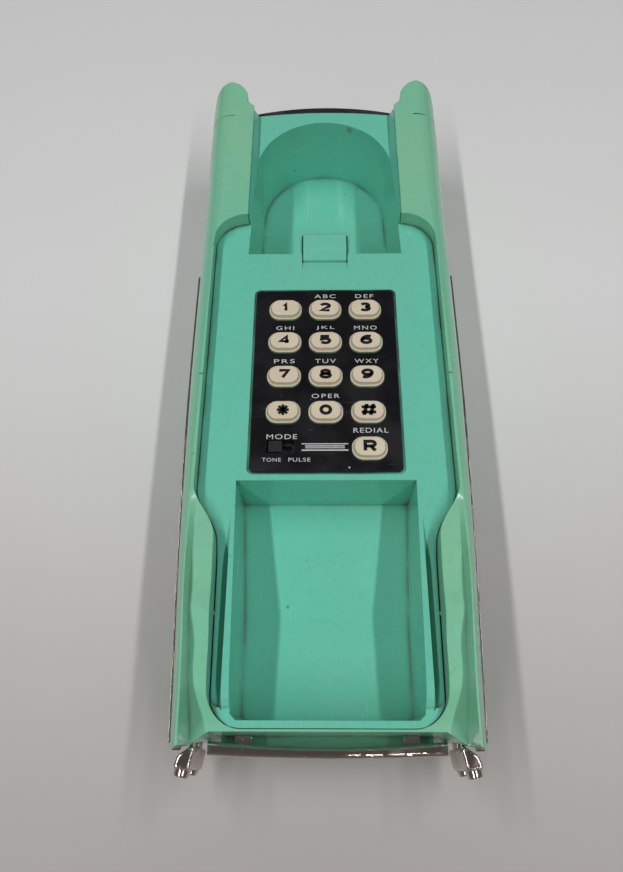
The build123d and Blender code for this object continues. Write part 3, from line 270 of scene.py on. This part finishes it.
def moulded(name, colour, faded, rough, grime_and_shade_reach, grime_and_shade_amount):
    """Old glossy or satin plastic: fading, handling marks, specks, grime with painted shade in its corners,
    and a painted deep green shade in its recesses.
    """
    recipe = Recipe(name)
    clouds = recipe.share(recipe.noise(14, 2.0), 0.35, 0.7)
    tone = recipe.mix(recipe.maths("MULTIPLY", clouds, 0.8), colour, faded)
    fine = recipe.noise(420, 4.0)
    darker = tuple(part * 0.90 for part in colour)
    tone = recipe.mix(recipe.maths("MULTIPLY", recipe.share(fine, 0.45, 0.75), 0.5), tone, darker)
    worn = recipe.maths("MULTIPLY", recipe.edge(0.6 * MM), recipe.share(recipe.noise(90), 0.42, 0.62))
    paler = tuple(min(part * 1.12 + 0.03, 1.0) for part in colour)
    tone = recipe.mix(recipe.maths("MULTIPLY", worn, 0.45), tone, paler)
    # Painted shade: a deep green darkening on walls and in recesses, where occlusion is high and the lamps
    # leave shade.
    painted_shade_green = tuple(part * scale for part, scale in zip(colour, (0.42, 0.62, 0.62)))
    tone = recipe.mix(recipe.maths("MULTIPLY", recipe.crevice(9 * MM, 0.35, 0.75), 0.40), tone, painted_shade_green)
    # Brown in corners, in noisy patches: partly real grime, partly painted shade where occlusion is high.
    patches = recipe.share(recipe.noise(55, 4.0, shift=(3, 1, 2)), 0.30, 0.62)
    corner = recipe.maths("MULTIPLY", recipe.crevice(grime_and_shade_reach), patches)
    tone = recipe.mix(recipe.maths("MULTIPLY", corner, grime_and_shade_amount), tone, GRIME_AND_SHADE)
    dark = recipe.specks(260, 0.16, 0.90)
    tone = recipe.mix(recipe.maths("MULTIPLY", dark, 0.55), tone, GRIME_AND_SHADE)
    pale = recipe.specks(420, 0.13, 0.93, (5, 5, 5))
    tone = recipe.mix(recipe.maths("MULTIPLY", pale, 0.35), tone, DUST)
    handling = recipe.share(recipe.noise(38, 5.0, shift=(1, 7, 3)), 0.35, 0.7)
    scratches = recipe.share(recipe.noise(900, 2.0, (1, 0.05, 1)), 0.63, 0.72)
    gloss = recipe.between(handling, rough, rough + 0.12)
    gloss = recipe.maths("ADD", gloss, recipe.maths("MULTIPLY", scratches, 0.10))
    gloss = recipe.maths("ADD", gloss, recipe.maths("MULTIPLY", corner, 0.25))
    ripple = recipe.bump(recipe.noise(160, 3.0), 0.03 * MM, recipe.rounded(0.45 * MM), 0.6)
    recipe.set(Base_Color=tone, Roughness=gloss, Normal=recipe.bump(fine, 0.012 * MM, ripple))
    recipe.set(IOR=1.5)
    return recipe


BODY_GREEN = (0.225, 0.640, 0.430)
BODY_FADED = (0.270, 0.640, 0.400)
TRAY_GREEN = (0.165, 0.655, 0.500)
TRAY_FADED = (0.185, 0.645, 0.475)
SMUDGE_PLACE = (13 * MM, 132.6 * MM, 48.5 * MM)


def body_plastic():
    recipe = moulded("body_plastic", BODY_GREEN, BODY_FADED, 0.17, 2.4 * MM, 0.80)
    recipe.set(Coat_Weight=0.25, Coat_Roughness=0.12)
    return recipe.material


def tray_plastic():
    recipe = moulded("tray_plastic", TRAY_GREEN, TRAY_FADED, 0.15, 3.0 * MM, 0.85)
    tone = recipe.shader.inputs["Base Color"].links[0].from_socket
    smudge = recipe.near(SMUDGE_PLACE, 0.7 * MM, 1.6 * MM, False)
    tone = recipe.mix(recipe.maths("MULTIPLY", smudge, 0.5), tone, (0.17, 0.12, 0.05))
    recipe.set(Base_Color=tone, Coat_Weight=0.35, Coat_Roughness=0.06)
    return recipe.material


def hook_plastic():
    """The tray's plastic on the hook button, with two faint round marks from its mould."""
    recipe = moulded("hook_plastic", TRAY_GREEN, TRAY_FADED, 0.25, 1.2 * MM, 0.6)
    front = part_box("hook_button")[1].y
    tone = recipe.shader.inputs["Base Color"].links[0].from_socket
    for side in (-1, 1):
        mark = recipe.near((side * 5.0 * MM, front - 3.2 * MM, 0), 0.9 * MM, 0.35 * MM)
        tone = recipe.mix(recipe.maths("MULTIPLY", mark, 0.4), tone, (0.42, 0.52, 0.36))
    recipe.set(Base_Color=tone)
    return recipe.material


def base_plastic():
    recipe = Recipe("base_plastic")
    grain = recipe.noise(1500, 3.0)
    dusty = recipe.share(recipe.noise(40, 5.0), 0.45, 0.75)
    tone = recipe.mix(recipe.maths("MULTIPLY", dusty, 0.25), (0.030, 0.031, 0.033), (0.13, 0.12, 0.11))
    worn = recipe.maths("MULTIPLY", recipe.edge(0.6 * MM), recipe.share(recipe.noise(120), 0.4, 0.6))
    tone = recipe.mix(recipe.maths("MULTIPLY", worn, 0.5), tone, (0.16, 0.16, 0.16))
    recipe.set(Base_Color=tone, Roughness=recipe.between(dusty, 0.42, 0.62))
    recipe.set(Normal=recipe.bump(grain, 0.06 * MM, recipe.rounded(0.5 * MM)))
    return recipe.material


def face_plate():
    """Glossy black printed plate, dusty, with fine scratches and a slightly paler edge."""
    recipe = Recipe("face_plate")
    clouds = recipe.share(recipe.noise(60, 4.0), 0.35, 0.75)
    tone = recipe.mix(clouds, (0.0040, 0.0040, 0.0060), (0.0070, 0.0065, 0.0095))
    tone = recipe.mix(recipe.maths("MULTIPLY", recipe.edge(0.35 * MM), 0.5), tone, (0.05, 0.06, 0.06))
    dust = recipe.specks(500, 0.12, 0.94)
    tone = recipe.mix(recipe.maths("MULTIPLY", dust, 0.5), tone, (0.30, 0.30, 0.30))
    x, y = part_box("keypad_plate")[1].x * 0.3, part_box("keypad_plate")[0].y
    chip = recipe.near((x, y + 1.6 * MM, 0), 0.28 * MM, 0.15 * MM)
    tone = recipe.mix(chip, tone, (0.55, 0.56, 0.57))
    scratches = recipe.share(recipe.noise(1100, 2.0, (0.06, 1, 1)), 0.66, 0.74)
    gloss = recipe.between(recipe.share(recipe.noise(70, 4.0, shift=(2, 2, 2)), 0.3, 0.7), 0.16, 0.34)
    gloss = recipe.maths("ADD", gloss, recipe.maths("MULTIPLY", scratches, 0.2))
    recipe.set(Base_Color=tone, Roughness=gloss)
    recipe.set(Normal=recipe.bump(recipe.noise(300, 3.0), 0.02 * MM, recipe.rounded(0.2 * MM), 0.6))
    return recipe.material


KEY_STEP_Z = 52.3 * MM


def key_plastic():
    """Ivory keys: a little yellowed, with painted green bounce light on the skirt, and grime with painted
    shade at the foot.
    """
    recipe = Recipe("key_plastic")
    clouds = recipe.share(recipe.noise(70, 3.0), 0.35, 0.7)
    tone = recipe.mix(clouds, (0.80, 0.70, 0.545), (0.76, 0.66, 0.50))
    # Painted green bounce light: the skirt below the step is tinted green as if lit by the green tray around
    # it.
    skirt = recipe.share(recipe.axis("Z"), KEY_STEP_Z + 0.15 * MM, KEY_STEP_Z - 0.25 * MM)
    tone = recipe.mix(recipe.maths("MULTIPLY", skirt, 0.8), tone, (0.36, 0.50, 0.36))
    # Dark brown at the foot where occlusion is high: partly handling grime, partly painted shade.
    patches = recipe.share(recipe.noise(260, 3.0), 0.3, 0.7)
    corner = recipe.maths("MULTIPLY", recipe.crevice(1.4 * MM), patches)
    tone = recipe.mix(recipe.maths("MULTIPLY", corner, 0.45), tone, (0.20, 0.19, 0.11))
    specks = recipe.specks(700, 0.14, 0.93)
    tone = recipe.mix(recipe.maths("MULTIPLY", specks, 0.4), tone, (0.25, 0.2, 0.12))
    gloss = recipe.between(recipe.share(recipe.noise(200, 4.0), 0.3, 0.7), 0.26, 0.42)
    recipe.set(Base_Color=tone, Roughness=gloss, Subsurface_Weight=0.08, Subsurface_Scale=0.6 * MM)
    recipe.set(Normal=recipe.bump(recipe.noise(500, 3.0), 0.012 * MM, recipe.rounded(0.3 * MM)))
    return recipe.material


def ink(name, colour, shine):
    """Printed ink with small gaps and uneven gloss."""
    recipe = Recipe(name)
    gaps = recipe.share(recipe.noise(2600, 3.0), 0.62, 0.75)
    faded = tuple(part * 0.55 + 0.03 for part in colour)
    tone = recipe.mix(recipe.maths("MULTIPLY", gaps, 0.6), colour, faded)
    recipe.set(Base_Color=tone, Roughness=recipe.between(gaps, shine, shine + 0.25))
    recipe.set(Normal=recipe.bump(recipe.noise(1800, 2.0), 0.006 * MM))
    return recipe


def dark_plastic():
    recipe = Recipe("dark_plastic")
    dusty = recipe.share(recipe.noise(180, 4.0), 0.4, 0.75)
    tone = recipe.mix(recipe.maths("MULTIPLY", dusty, 0.35), (0.012, 0.012, 0.013), (0.07, 0.065, 0.06))
    worn = recipe.edge(0.3 * MM)
    tone = recipe.mix(recipe.maths("MULTIPLY", worn, 0.4), tone, (0.10, 0.10, 0.10))
    recipe.set(Base_Color=tone, Roughness=recipe.between(dusty, 0.35, 0.55))
    recipe.set(Normal=recipe.bump(recipe.noise(2200, 2.0), 0.02 * MM, recipe.rounded(0.25 * MM)))
    return recipe.material


def grille_plastic():
    recipe = Recipe("grille_plastic")
    dusty = recipe.share(recipe.noise(90, 4.0), 0.4, 0.75)
    corner = recipe.crevice(2.5 * MM)
    tone = recipe.mix(recipe.maths("MULTIPLY", dusty, 0.3), (0.020, 0.021, 0.020), (0.09, 0.08, 0.07))
    tone = recipe.mix(recipe.maths("MULTIPLY", corner, 0.5), tone, (0.05, 0.04, 0.03))
    recipe.set(Base_Color=tone, Roughness=recipe.between(dusty, 0.22, 0.45))
    recipe.set(Normal=recipe.bump(recipe.noise(700, 3.0), 0.02 * MM, recipe.rounded(0.35 * MM)))
    return recipe.material


def chromed_plastic():
    """Vacuum-plated chrome: bright, slightly wavy, with dull patches, pits and worn-through edges; tinted
    warm brown as a painted reflection of the room, with painted shade in its crevices.
    """
    recipe = Recipe("chromed_plastic")
    dull = recipe.share(recipe.noise(120, 5.0), 0.48, 0.72)
    pits = recipe.specks(900, 0.24, 0.84)
    edges = recipe.maths("MULTIPLY", recipe.edge(0.5 * MM), recipe.share(recipe.noise(240, 4.0), 0.52, 0.64))
    bare = recipe.maths("MAXIMUM", pits, edges)
    # Both chrome colours are tinted warm brown: a painted reflection of the warm room around it.
    tone = recipe.mix(recipe.maths("MULTIPLY", dull, 0.6), (0.70, 0.60, 0.55), (0.42, 0.33, 0.28))
    tone = recipe.mix(recipe.maths("MULTIPLY", bare, 0.75), tone, (0.16, 0.13, 0.11))
    # Painted shade: grime brown in crevices, where occlusion is high.
    corner = recipe.crevice(1.5 * MM)
    tone = recipe.mix(recipe.maths("MULTIPLY", corner, 0.6), tone, GRIME_AND_SHADE)
    recipe.set(Base_Color=tone, Metallic=recipe.between(bare, 1.0, 0.35))
    gloss = recipe.maths("ADD", recipe.between(dull, 0.07, 0.24), recipe.maths("MULTIPLY", bare, 0.3))
    recipe.set(Roughness=gloss)
    wavy = recipe.bump(recipe.noise(75, 2.0), 0.10 * MM, recipe.rounded(0.4 * MM), 0.5)
    recipe.set(Normal=recipe.bump(pits, -0.03 * MM, wavy))
    return recipe.material


def clear_lens():
    recipe = Recipe("clear_lens")
    haze = recipe.share(recipe.noise(220, 4.0), 0.4, 0.75)
    ribs = recipe.maths("SINE", recipe.maths("MULTIPLY", recipe.axis("X"), math.tau / (1.1 * MM)))
    tone = recipe.mix(haze, (0.86, 0.88, 0.88), (0.74, 0.73, 0.68))
    recipe.set(Base_Color=tone, Roughness=recipe.between(haze, 0.04, 0.16), Transmission_Weight=0.35)
    recipe.set(IOR=1.49, Normal=recipe.bump(ribs, 0.10 * MM))
    return recipe.material


def red_lens():
    recipe = Recipe("red_lens")
    haze = recipe.share(recipe.noise(300, 4.0), 0.4, 0.75)
    ribs = recipe.maths("SINE", recipe.maths("MULTIPLY", recipe.axis("Z"), math.tau / (1.3 * MM)))
    tone = recipe.mix(haze, (0.42, 0.012, 0.014), (0.30, 0.02, 0.02))
    recipe.set(Base_Color=tone, Roughness=recipe.between(haze, 0.10, 0.28), Coat_Weight=0.5)
    recipe.set(Normal=recipe.bump(ribs, 0.12 * MM))
    return recipe.material


def rubber(name, colour, dusted, rough, grain_depth):
    recipe = Recipe(name)
    grain = recipe.noise(1300, 4.0)
    dusty = recipe.share(recipe.noise(110, 4.0), 0.4, 0.72)
    tone = recipe.mix(recipe.maths("MULTIPLY", dusty, 0.5), colour, dusted)
    # Painted shade: darker in crevices, where occlusion is high.
    corner = recipe.crevice(1.5 * MM)
    tone = recipe.mix(recipe.maths("MULTIPLY", corner, 0.4), tone, tuple(part * 0.6 for part in dusted))
    recipe.set(Base_Color=tone, Roughness=recipe.between(dusty, rough, rough + 0.15))
    recipe.set(Normal=recipe.bump(grain, grain_depth, recipe.rounded(0.3 * MM)))
    return recipe.material


def circuit_board():
    """Brown phenolic board with tinned tracks."""
    recipe = Recipe("circuit_board")
    tracks = recipe.nodes.new("ShaderNodeTexBrick")
    recipe.links.new(recipe.place, tracks.inputs["Vector"])
    tracks.inputs["Scale"].default_value = 160
    tracks.inputs["Mortar Size"].default_value = 0.07
    grain = recipe.share(recipe.noise(900, 4.0, (1, 0.1, 1)), 0.35, 0.7)
    tone = recipe.mix(grain, (0.26, 0.17, 0.07), (0.20, 0.125, 0.05))
    tone = recipe.mix(tracks.outputs["Fac"], tone, (0.52, 0.36, 0.17))
    recipe.set(Base_Color=tone, Roughness=recipe.between(grain, 0.35, 0.5))
    recipe.set(Normal=recipe.bump(tracks.outputs["Fac"], 0.05 * MM, recipe.rounded(0.2 * MM)))
    return recipe.material


def metal(name, colour, stained, rough, grain):
    """Plain or plated steel with stains and a fine grain."""
    recipe = Recipe(name)
    stains = recipe.share(recipe.noise(150, 5.0), 0.45, 0.72)
    tone = recipe.mix(stains, colour, stained)
    recipe.set(Base_Color=tone, Metallic=1.0, Roughness=recipe.between(stains, rough, rough + 0.2))
    recipe.set(Normal=recipe.bump(recipe.noise(grain, 3.0, (1, 0.2, 1)), 0.02 * MM, recipe.rounded(0.2 * MM)))
    return recipe.material


def speaker_steel():
    recipe = Recipe("speaker_steel")
    dusty = recipe.share(recipe.noise(200, 4.0), 0.4, 0.7)
    tone = recipe.mix(recipe.maths("MULTIPLY", dusty, 0.5), (0.045, 0.045, 0.05), (0.16, 0.15, 0.14))
    recipe.set(Base_Color=tone, Roughness=recipe.between(dusty, 0.35, 0.6), Metallic=0.2)
    recipe.set(Normal=recipe.bump(recipe.noise(900, 3.0), 0.04 * MM, recipe.rounded(0.3 * MM)))
    return recipe.material


def cable_vinyl():
    """Flat grey cable with a groove between its wires, painted darker in the grooves as shade."""
    recipe = Recipe("cable_vinyl")
    wires = recipe.maths("SINE", recipe.maths("MULTIPLY", recipe.axis("X"), math.tau / (1.27 * MM)))
    # Painted shade: darker grey in the grooves between the wires, paler on their crowns.
    soft = recipe.share(wires, -1.0, 0.6)
    tone = recipe.mix(soft, (0.22, 0.22, 0.21), (0.42, 0.42, 0.41))
    recipe.set(Base_Color=tone, Roughness=recipe.between(recipe.noise(300), 0.35, 0.55))
    recipe.set(Normal=recipe.bump(wires, 0.18 * MM))
    return recipe.material


def contact_gold():
    recipe = Recipe("contact_gold")
    stains = recipe.share(recipe.noise(900, 4.0), 0.45, 0.7)
    tone = recipe.mix(stains, (0.86, 0.62, 0.24), (0.55, 0.37, 0.16))
    recipe.set(Base_Color=tone, Metallic=1.0, Roughness=recipe.between(stains, 0.16, 0.34))
    return recipe.material


def floor_material():
    """Pale, very slightly glossy table top, with a painted shadow that darkens it towards the camera."""
    recipe = Recipe("table_top")
    clouds = recipe.share(recipe.noise(3.0, 3.0), 0.3, 0.7)
    tone = recipe.mix(clouds, (0.86, 0.87, 0.87), (0.84, 0.85, 0.85))
    # Painted shadow: the table top darkens towards the camera side.
    painted_shadow_near_camera = recipe.share(recipe.axis("Y"), 0.10, -0.26)
    tone = recipe.mix(painted_shadow_near_camera, tone, (0.43, 0.40, 0.385))
    recipe.set(Base_Color=tone, Roughness=recipe.between(recipe.noise(40, 3.0), 0.42, 0.5))
    return recipe.material


MATERIALS = {
    "body_plastic": body_plastic(),
    "tray_plastic": tray_plastic(),
    "base_plastic": base_plastic(),
    "face_plate": face_plate(),
    "key_plastic": key_plastic(),
    "dark_plastic": dark_plastic(),
    "grille_plastic": grille_plastic(),
    "chromed_plastic": chromed_plastic(),
    "clear_lens": clear_lens(),
    "red_lens": red_lens(),
    "tyre_rubber": rubber("tyre_rubber", (0.014, 0.014, 0.015), (0.07, 0.065, 0.06), 0.55, 0.05 * MM),
    "white_rubber": rubber("white_rubber", (0.74, 0.72, 0.66), (0.52, 0.48, 0.40), 0.42, 0.02 * MM),
    "foot_rubber": rubber("foot_rubber", (0.025, 0.025, 0.026), (0.08, 0.075, 0.07), 0.6, 0.06 * MM),
    "grey_rubber": rubber("grey_rubber", (0.30, 0.31, 0.31), (0.24, 0.23, 0.21), 0.5, 0.03 * MM),
    "circuit_board": circuit_board(),
    "zinc_steel": metal("zinc_steel", (0.62, 0.62, 0.60), (0.40, 0.37, 0.30), 0.25, 1500),
    "raw_steel": metal("raw_steel", (0.36, 0.36, 0.37), (0.24, 0.17, 0.12), 0.4, 700),
    "speaker_steel": speaker_steel(),
    "cable_vinyl": cable_vinyl(),
}


def dress_nodes():
    """Give every CAD node the material of its slot."""
    for row in frame["record"]["subparts"]:
        mesh = NODES[row["node"]].data
        mesh.materials.clear()
        mesh.materials.append(MATERIALS[row["material_slot"]])
    hook = NODES["hook_button"].data
    hook.materials.clear()
    hook.materials.append(hook_plastic())


# Printing on the keypad ---------------------------------------------------------------------------

INK_SINK = 0.02 * MM
INK_RISE = 0.03 * MM
KEY_NAMES = [*"123456789", "star", "0", "hash", "redial"]
DIGIT_SIZES = {"1": (2.9, 4.7), "redial": (5.6, 5.3)}
PLATE_LABELS = {"2": ("ABC", 9.2), "3": ("DEF", 7.8), "4": ("GHI", 7.6), "5": ("JKL", 7.8), "6": ("MNO", 9.6),
                "7": ("PRS", 8.6), "8": ("TUV", 8.6), "9": ("WXY", 9.9), "0": ("OPER", 11.3)}


def lettering(text, width, height, weight, spacing=1.0):
    """Flat letters as a mesh: centred, fitted to width and height, from INK_SINK below to INK_RISE above."""
    curve = bpy.data.curves.new("letters", "FONT")
    curve.body = text
    curve.offset = weight
    curve.space_character = spacing
    curve.extrude = 0.1
    curve.resolution_u = 6
    source = bpy.data.objects.new("letters", curve)
    mesh = bpy.data.meshes.new_from_object(source)
    bpy.data.objects.remove(source)
    points = [vertex.co for vertex in mesh.vertices]
    low = [min(point[axis] for point in points) for axis in (0, 1)]
    high = [max(point[axis] for point in points) for axis in (0, 1)]
    for point in points:
        point.x = (point.x - (low[0] + high[0]) / 2) * width / (high[0] - low[0])
        point.y = (point.y - (low[1] + high[1]) / 2) * height / (high[1] - low[1])
        point.z = INK_RISE if point.z > 0 else -INK_SINK
    return mesh


def add_bar(target, centre, length, width, angle=0.0, slant=0.0):
    """One straight printed bar, lying along X before it is turned by angle."""
    turn = Matrix.Rotation(angle, 3, "Z")
    corners = []
    for z in (-INK_SINK, INK_RISE):
        for x, y in ((-1, -1), (1, -1), (1, 1), (-1, 1)):
            point = turn @ Vector((x * length / 2, y * width / 2, 0))
            point.x += slant * point.y
            corners.append(target.verts.new((centre[0] + point.x, centre[1] + point.y, z)))
    low, high = corners[:4], corners[4:]
    target.faces.new(high)
    target.faces.new(low[::-1])
    for index in range(4):
        after = (index + 1) % 4
        target.faces.new((low[index], low[after], high[after], high[index]))


def bars_mesh(bars):
    shape = bmesh.new()
    for bar in bars:
        add_bar(shape, *bar)
    mesh = bpy.data.meshes.new("bars")
    shape.to_mesh(mesh)
    shape.free()
    return mesh


def arc(centre, radii, start, stop, count=14):
    """Points along an upright ellipse, from one angle to another in degrees."""
    angles = [math.radians(start + (stop - start) * index / (count - 1)) for index in range(count)]
    return [(centre[0] + radii[0] * math.cos(a), centre[1] + radii[1] * math.sin(a)) for a in angles]


SIX_LOOP = arc((0, -0.38), (1, 0.62), 0, 360, 24)
SIX_STEM = arc((0.45, -0.38), (1.45, 1.38), 66, 180)
DIGIT_LINES = {
    "0": [arc((0, 0), (1, 1), 0, 360, 30)],
    "1": [[(0.35, -1), (0.35, 1), (-0.75, 0.35)]],
    "2": [[*arc((0, 0.42), (0.95, 0.58), 165, -30), (-1, -1), (1, -1)]],
    "3": [arc((0, 0.5), (0.85, 0.5), 155, -90), arc((0, -0.5), (0.95, 0.5), 90, -155)],
    "4": [[(0.45, -1), (0.45, 1), (-1, -0.42), (1, -0.42)]],
    "5": [[(0.85, 1), (-0.75, 1), (-0.85, 0.08), *arc((0, -0.36), (0.95, 0.64), 120, -155)]],
    "6": [SIX_LOOP, SIX_STEM],
    "7": [[(-1, 1), (1, 1), (-0.25, -1)]],
    "8": [arc((0, 0.5), (0.82, 0.5), 0, 360, 24), arc((0, -0.47), (1, 0.53), 0, 360, 24)],
    "9": [[(-x, -y) for x, y in line] for line in (SIX_LOOP, SIX_STEM)],
    "redial": [[(-0.9, -1), (-0.9, 1), (0.2, 1), *arc((0.2, 0.48), (0.7, 0.52), 80, -80), (-0.9, -0.04)],
               [(0.1, -0.04), (0.95, -1)]],
}


def add_ribbon(target, points, thick):
    """A printed stroke of even thickness along a line of points; a ring if the line closes."""
    ring = (Vector(points[0]) - Vector(points[-1])).length < 1e-6
    line = [Vector(point) for point in (points[:-1] if ring else points)]
    count = len(line)
    rows = []
    for index, point in enumerate(line):
        before = line[index - 1] if index or ring else None
        after = line[(index + 1) % count] if index < count - 1 or ring else None
        ways = [(point - before).normalized()] if before is not None else []
        ways += [(after - point).normalized()] if after is not None else []
        way = sum(ways, Vector((0, 0))).normalized()
        across = Vector((-way.y, way.x))
        reach = thick / 2 / max(abs(across.dot(Vector((-ways[0].y, ways[0].x)))), 0.6)
        sides = [point + across * reach, point - across * reach]
        rows.append([target.verts.new((*side, z)) for z in (-INK_SINK, INK_RISE) for side in sides])
    for index in range(count if ring else count - 1):
        here, there = rows[index], rows[(index + 1) % count]
        for a, b in ((2, 3), (1, 0), (0, 2), (3, 1)):
            target.faces.new((here[a], here[b], there[b], there[a]))
    if not ring:
        for low_left, low_right, high_left, high_right in (rows[0], rows[-1]):
            target.faces.new((low_left, low_right, high_right, high_left))


def digit_mesh(name, width, height, thick):
    """A bold wide digit of the given overall size."""
    shape = bmesh.new()
    for line in DIGIT_LINES[name]:
        points = [(x * (width - thick) / 2, y * (height - thick) / 2) for x, y in line]
        add_ribbon(shape, points, thick)
    bmesh.ops.recalc_face_normals(shape, faces=shape.faces)
    mesh = bpy.data.meshes.new("digit")
    shape.to_mesh(mesh)
    shape.free()
    return mesh


def star_mesh():
    """Asterisk of four crossed bars."""
    return bars_mesh([((0, 0), 4.8 * MM, 1.2 * MM, math.pi / 4 * index) for index in range(4)])


def hash_mesh():
    """Number sign with leaning uprights."""
    bars = [((0, y * MM), 5.7 * MM, 1.35 * MM) for y in (-1.15, 1.15)]
    bars += [((x * MM, 0), 5.0 * MM, 1.5 * MM, math.pi / 2, 0.22) for x in (-1.3, 1.3)]
    return bars_mesh(bars)


def join(meshes):
    """One mesh from several (mesh, place) pairs."""
    shape = bmesh.new()
    for mesh, place in meshes:
        mesh.transform(Matrix.Translation(place))
        shape.from_mesh(mesh)
    joined = bpy.data.meshes.new("joined")
    shape.to_mesh(joined)
    shape.free()
    return joined


def add_piece(name, mesh, body, material):
    """Put a finished mesh into the scene, riding on a CAD body."""
    mesh.name = name
    mesh.materials.clear()
    mesh.materials.append(material)
    piece = bpy.data.objects.new(name, mesh)
    scene.collection.objects.link(piece)
    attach(piece, body)
    return piece


def key_top(name):
    low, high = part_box(f"key_{name}")
    return Vector(((low.x + high.x) / 2, (low.y + high.y) / 2, high.z))


def print_keys():
    """A bold wide digit on every key."""
    black = ink("digit_ink", (0.010, 0.009, 0.010), 0.3)
    for name in KEY_NAMES:
        if name == "star":
            mesh = star_mesh()
        elif name == "hash":
            mesh = hash_mesh()
        else:
            width, height = DIGIT_SIZES.get(name, (5.1, 4.7))
            mesh = digit_mesh(name, width * MM, height * MM, 1.4 * MM)
        mesh.transform(Matrix.Translation(key_top(name)))
        add_piece(f"digit_{name}", mesh, f"key_{name}", black.material)


def print_plate():
    """Small silver letter groups over the keys, and the switch's labels."""
    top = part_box("keypad_plate")[1].z
    silver = ink("silver_ink", (0.62, 0.63, 0.63), 0.32)
    redial = key_top("redial")
    labels = []
    for key, (text, width) in PLATE_LABELS.items():
        place = key_top(key)
        letters = lettering(text, width * MM, 1.95 * MM, 0.004, 1.25)
        labels.append((letters, (place.x, place.y + 7.5 * MM, top)))
    words = (("REDIAL", 13.8, 2.1, 0.7, 7.9), ("MODE", 12.0, 2.1, -34.3, 5.2),
             ("TONE", 7.3, 1.6, -38.1, -4.7), ("PULSE", 8.5, 1.6, -27.3, -4.7))
    for text, width, height, x, y in words:
        place = (redial.x + x * MM, redial.y + y * MM, top)
        labels.append((lettering(text, width * MM, height * MM, 0.004, 1.15), place))
    add_piece("plate_lettering", join(labels), "base", silver.material)
    bars = [((0, 1.35 * MM), 18.2 * MM, 0.45 * MM), ((0, -1.35 * MM), 18.2 * MM, 0.6 * MM)]
    bars += [((0, 0.45 * MM), 15.4 * MM, 0.5 * MM), ((0, -0.35 * MM), 15.4 * MM, 0.4 * MM)]
    plain_bars = bars_mesh(bars)
    plain_bars.transform(Matrix.Translation((redial.x - 17.4 * MM, redial.y + 0.7 * MM, top)))
    add_piece("plate_bars", plain_bars, "base", silver.material)


# Sockets ------------------------------------------------------------------------------------------

CONTACT_PITCH = 1.02 * MM
CONTACT_RADIUS = 0.22 * MM


def contact_wires(node, count):
    """Springy gilt wires in a modular jack, from its roof down and back."""
    low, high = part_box(node)
    middle = (low.y + high.y) / 2
    mouth, z = low.x, (low.z + high.z) / 2
    curve = bpy.data.curves.new("wires", "CURVE")
    curve.dimensions = "3D"
    curve.bevel_depth = CONTACT_RADIUS
    curve.bevel_resolution = 2
    curve.use_fill_caps = True
    for index in range(count):
        y = middle + (index - (count - 1) / 2) * CONTACT_PITCH
        points = ((3.2, 3.1), (4.4, 2.2), (8.0, 0.2), (11.0, -1.4))
        line = curve.splines.new("POLY")
        line.points.add(len(points) - 1)
        for point, (x, rise) in zip(line.points, points):
            point.co = (mouth + x * MM, y, z + rise * MM, 1)
    source = bpy.data.objects.new("wires", curve)
    mesh = bpy.data.meshes.new_from_object(source)
    bpy.data.objects.remove(source)
    return mesh


def add_contacts():
    gold = contact_gold()
    for node, count in (("line_jack", 6), ("handset_jack", 4)):
        add_piece(f"{node}_contacts", contact_wires(node, count), "base", gold)


# Scene --------------------------------------------------------------------------------------------

def add_floor():
    half = 2.5
    mesh = bpy.data.meshes.new("floor")
    corners = [(-half, -half, 0), (half, -half, 0), (half, half, 0), (-half, half, 0)]
    mesh.from_pydata(corners, [], [(0, 1, 2, 3)])
    mesh.materials.append(floor_material())
    floor = bpy.data.objects.new("floor", mesh)
    scene.collection.objects.link(floor)


add_camera()
add_lights()
add_floor()
dress_nodes()
print_keys()
print_plate()
add_contacts()
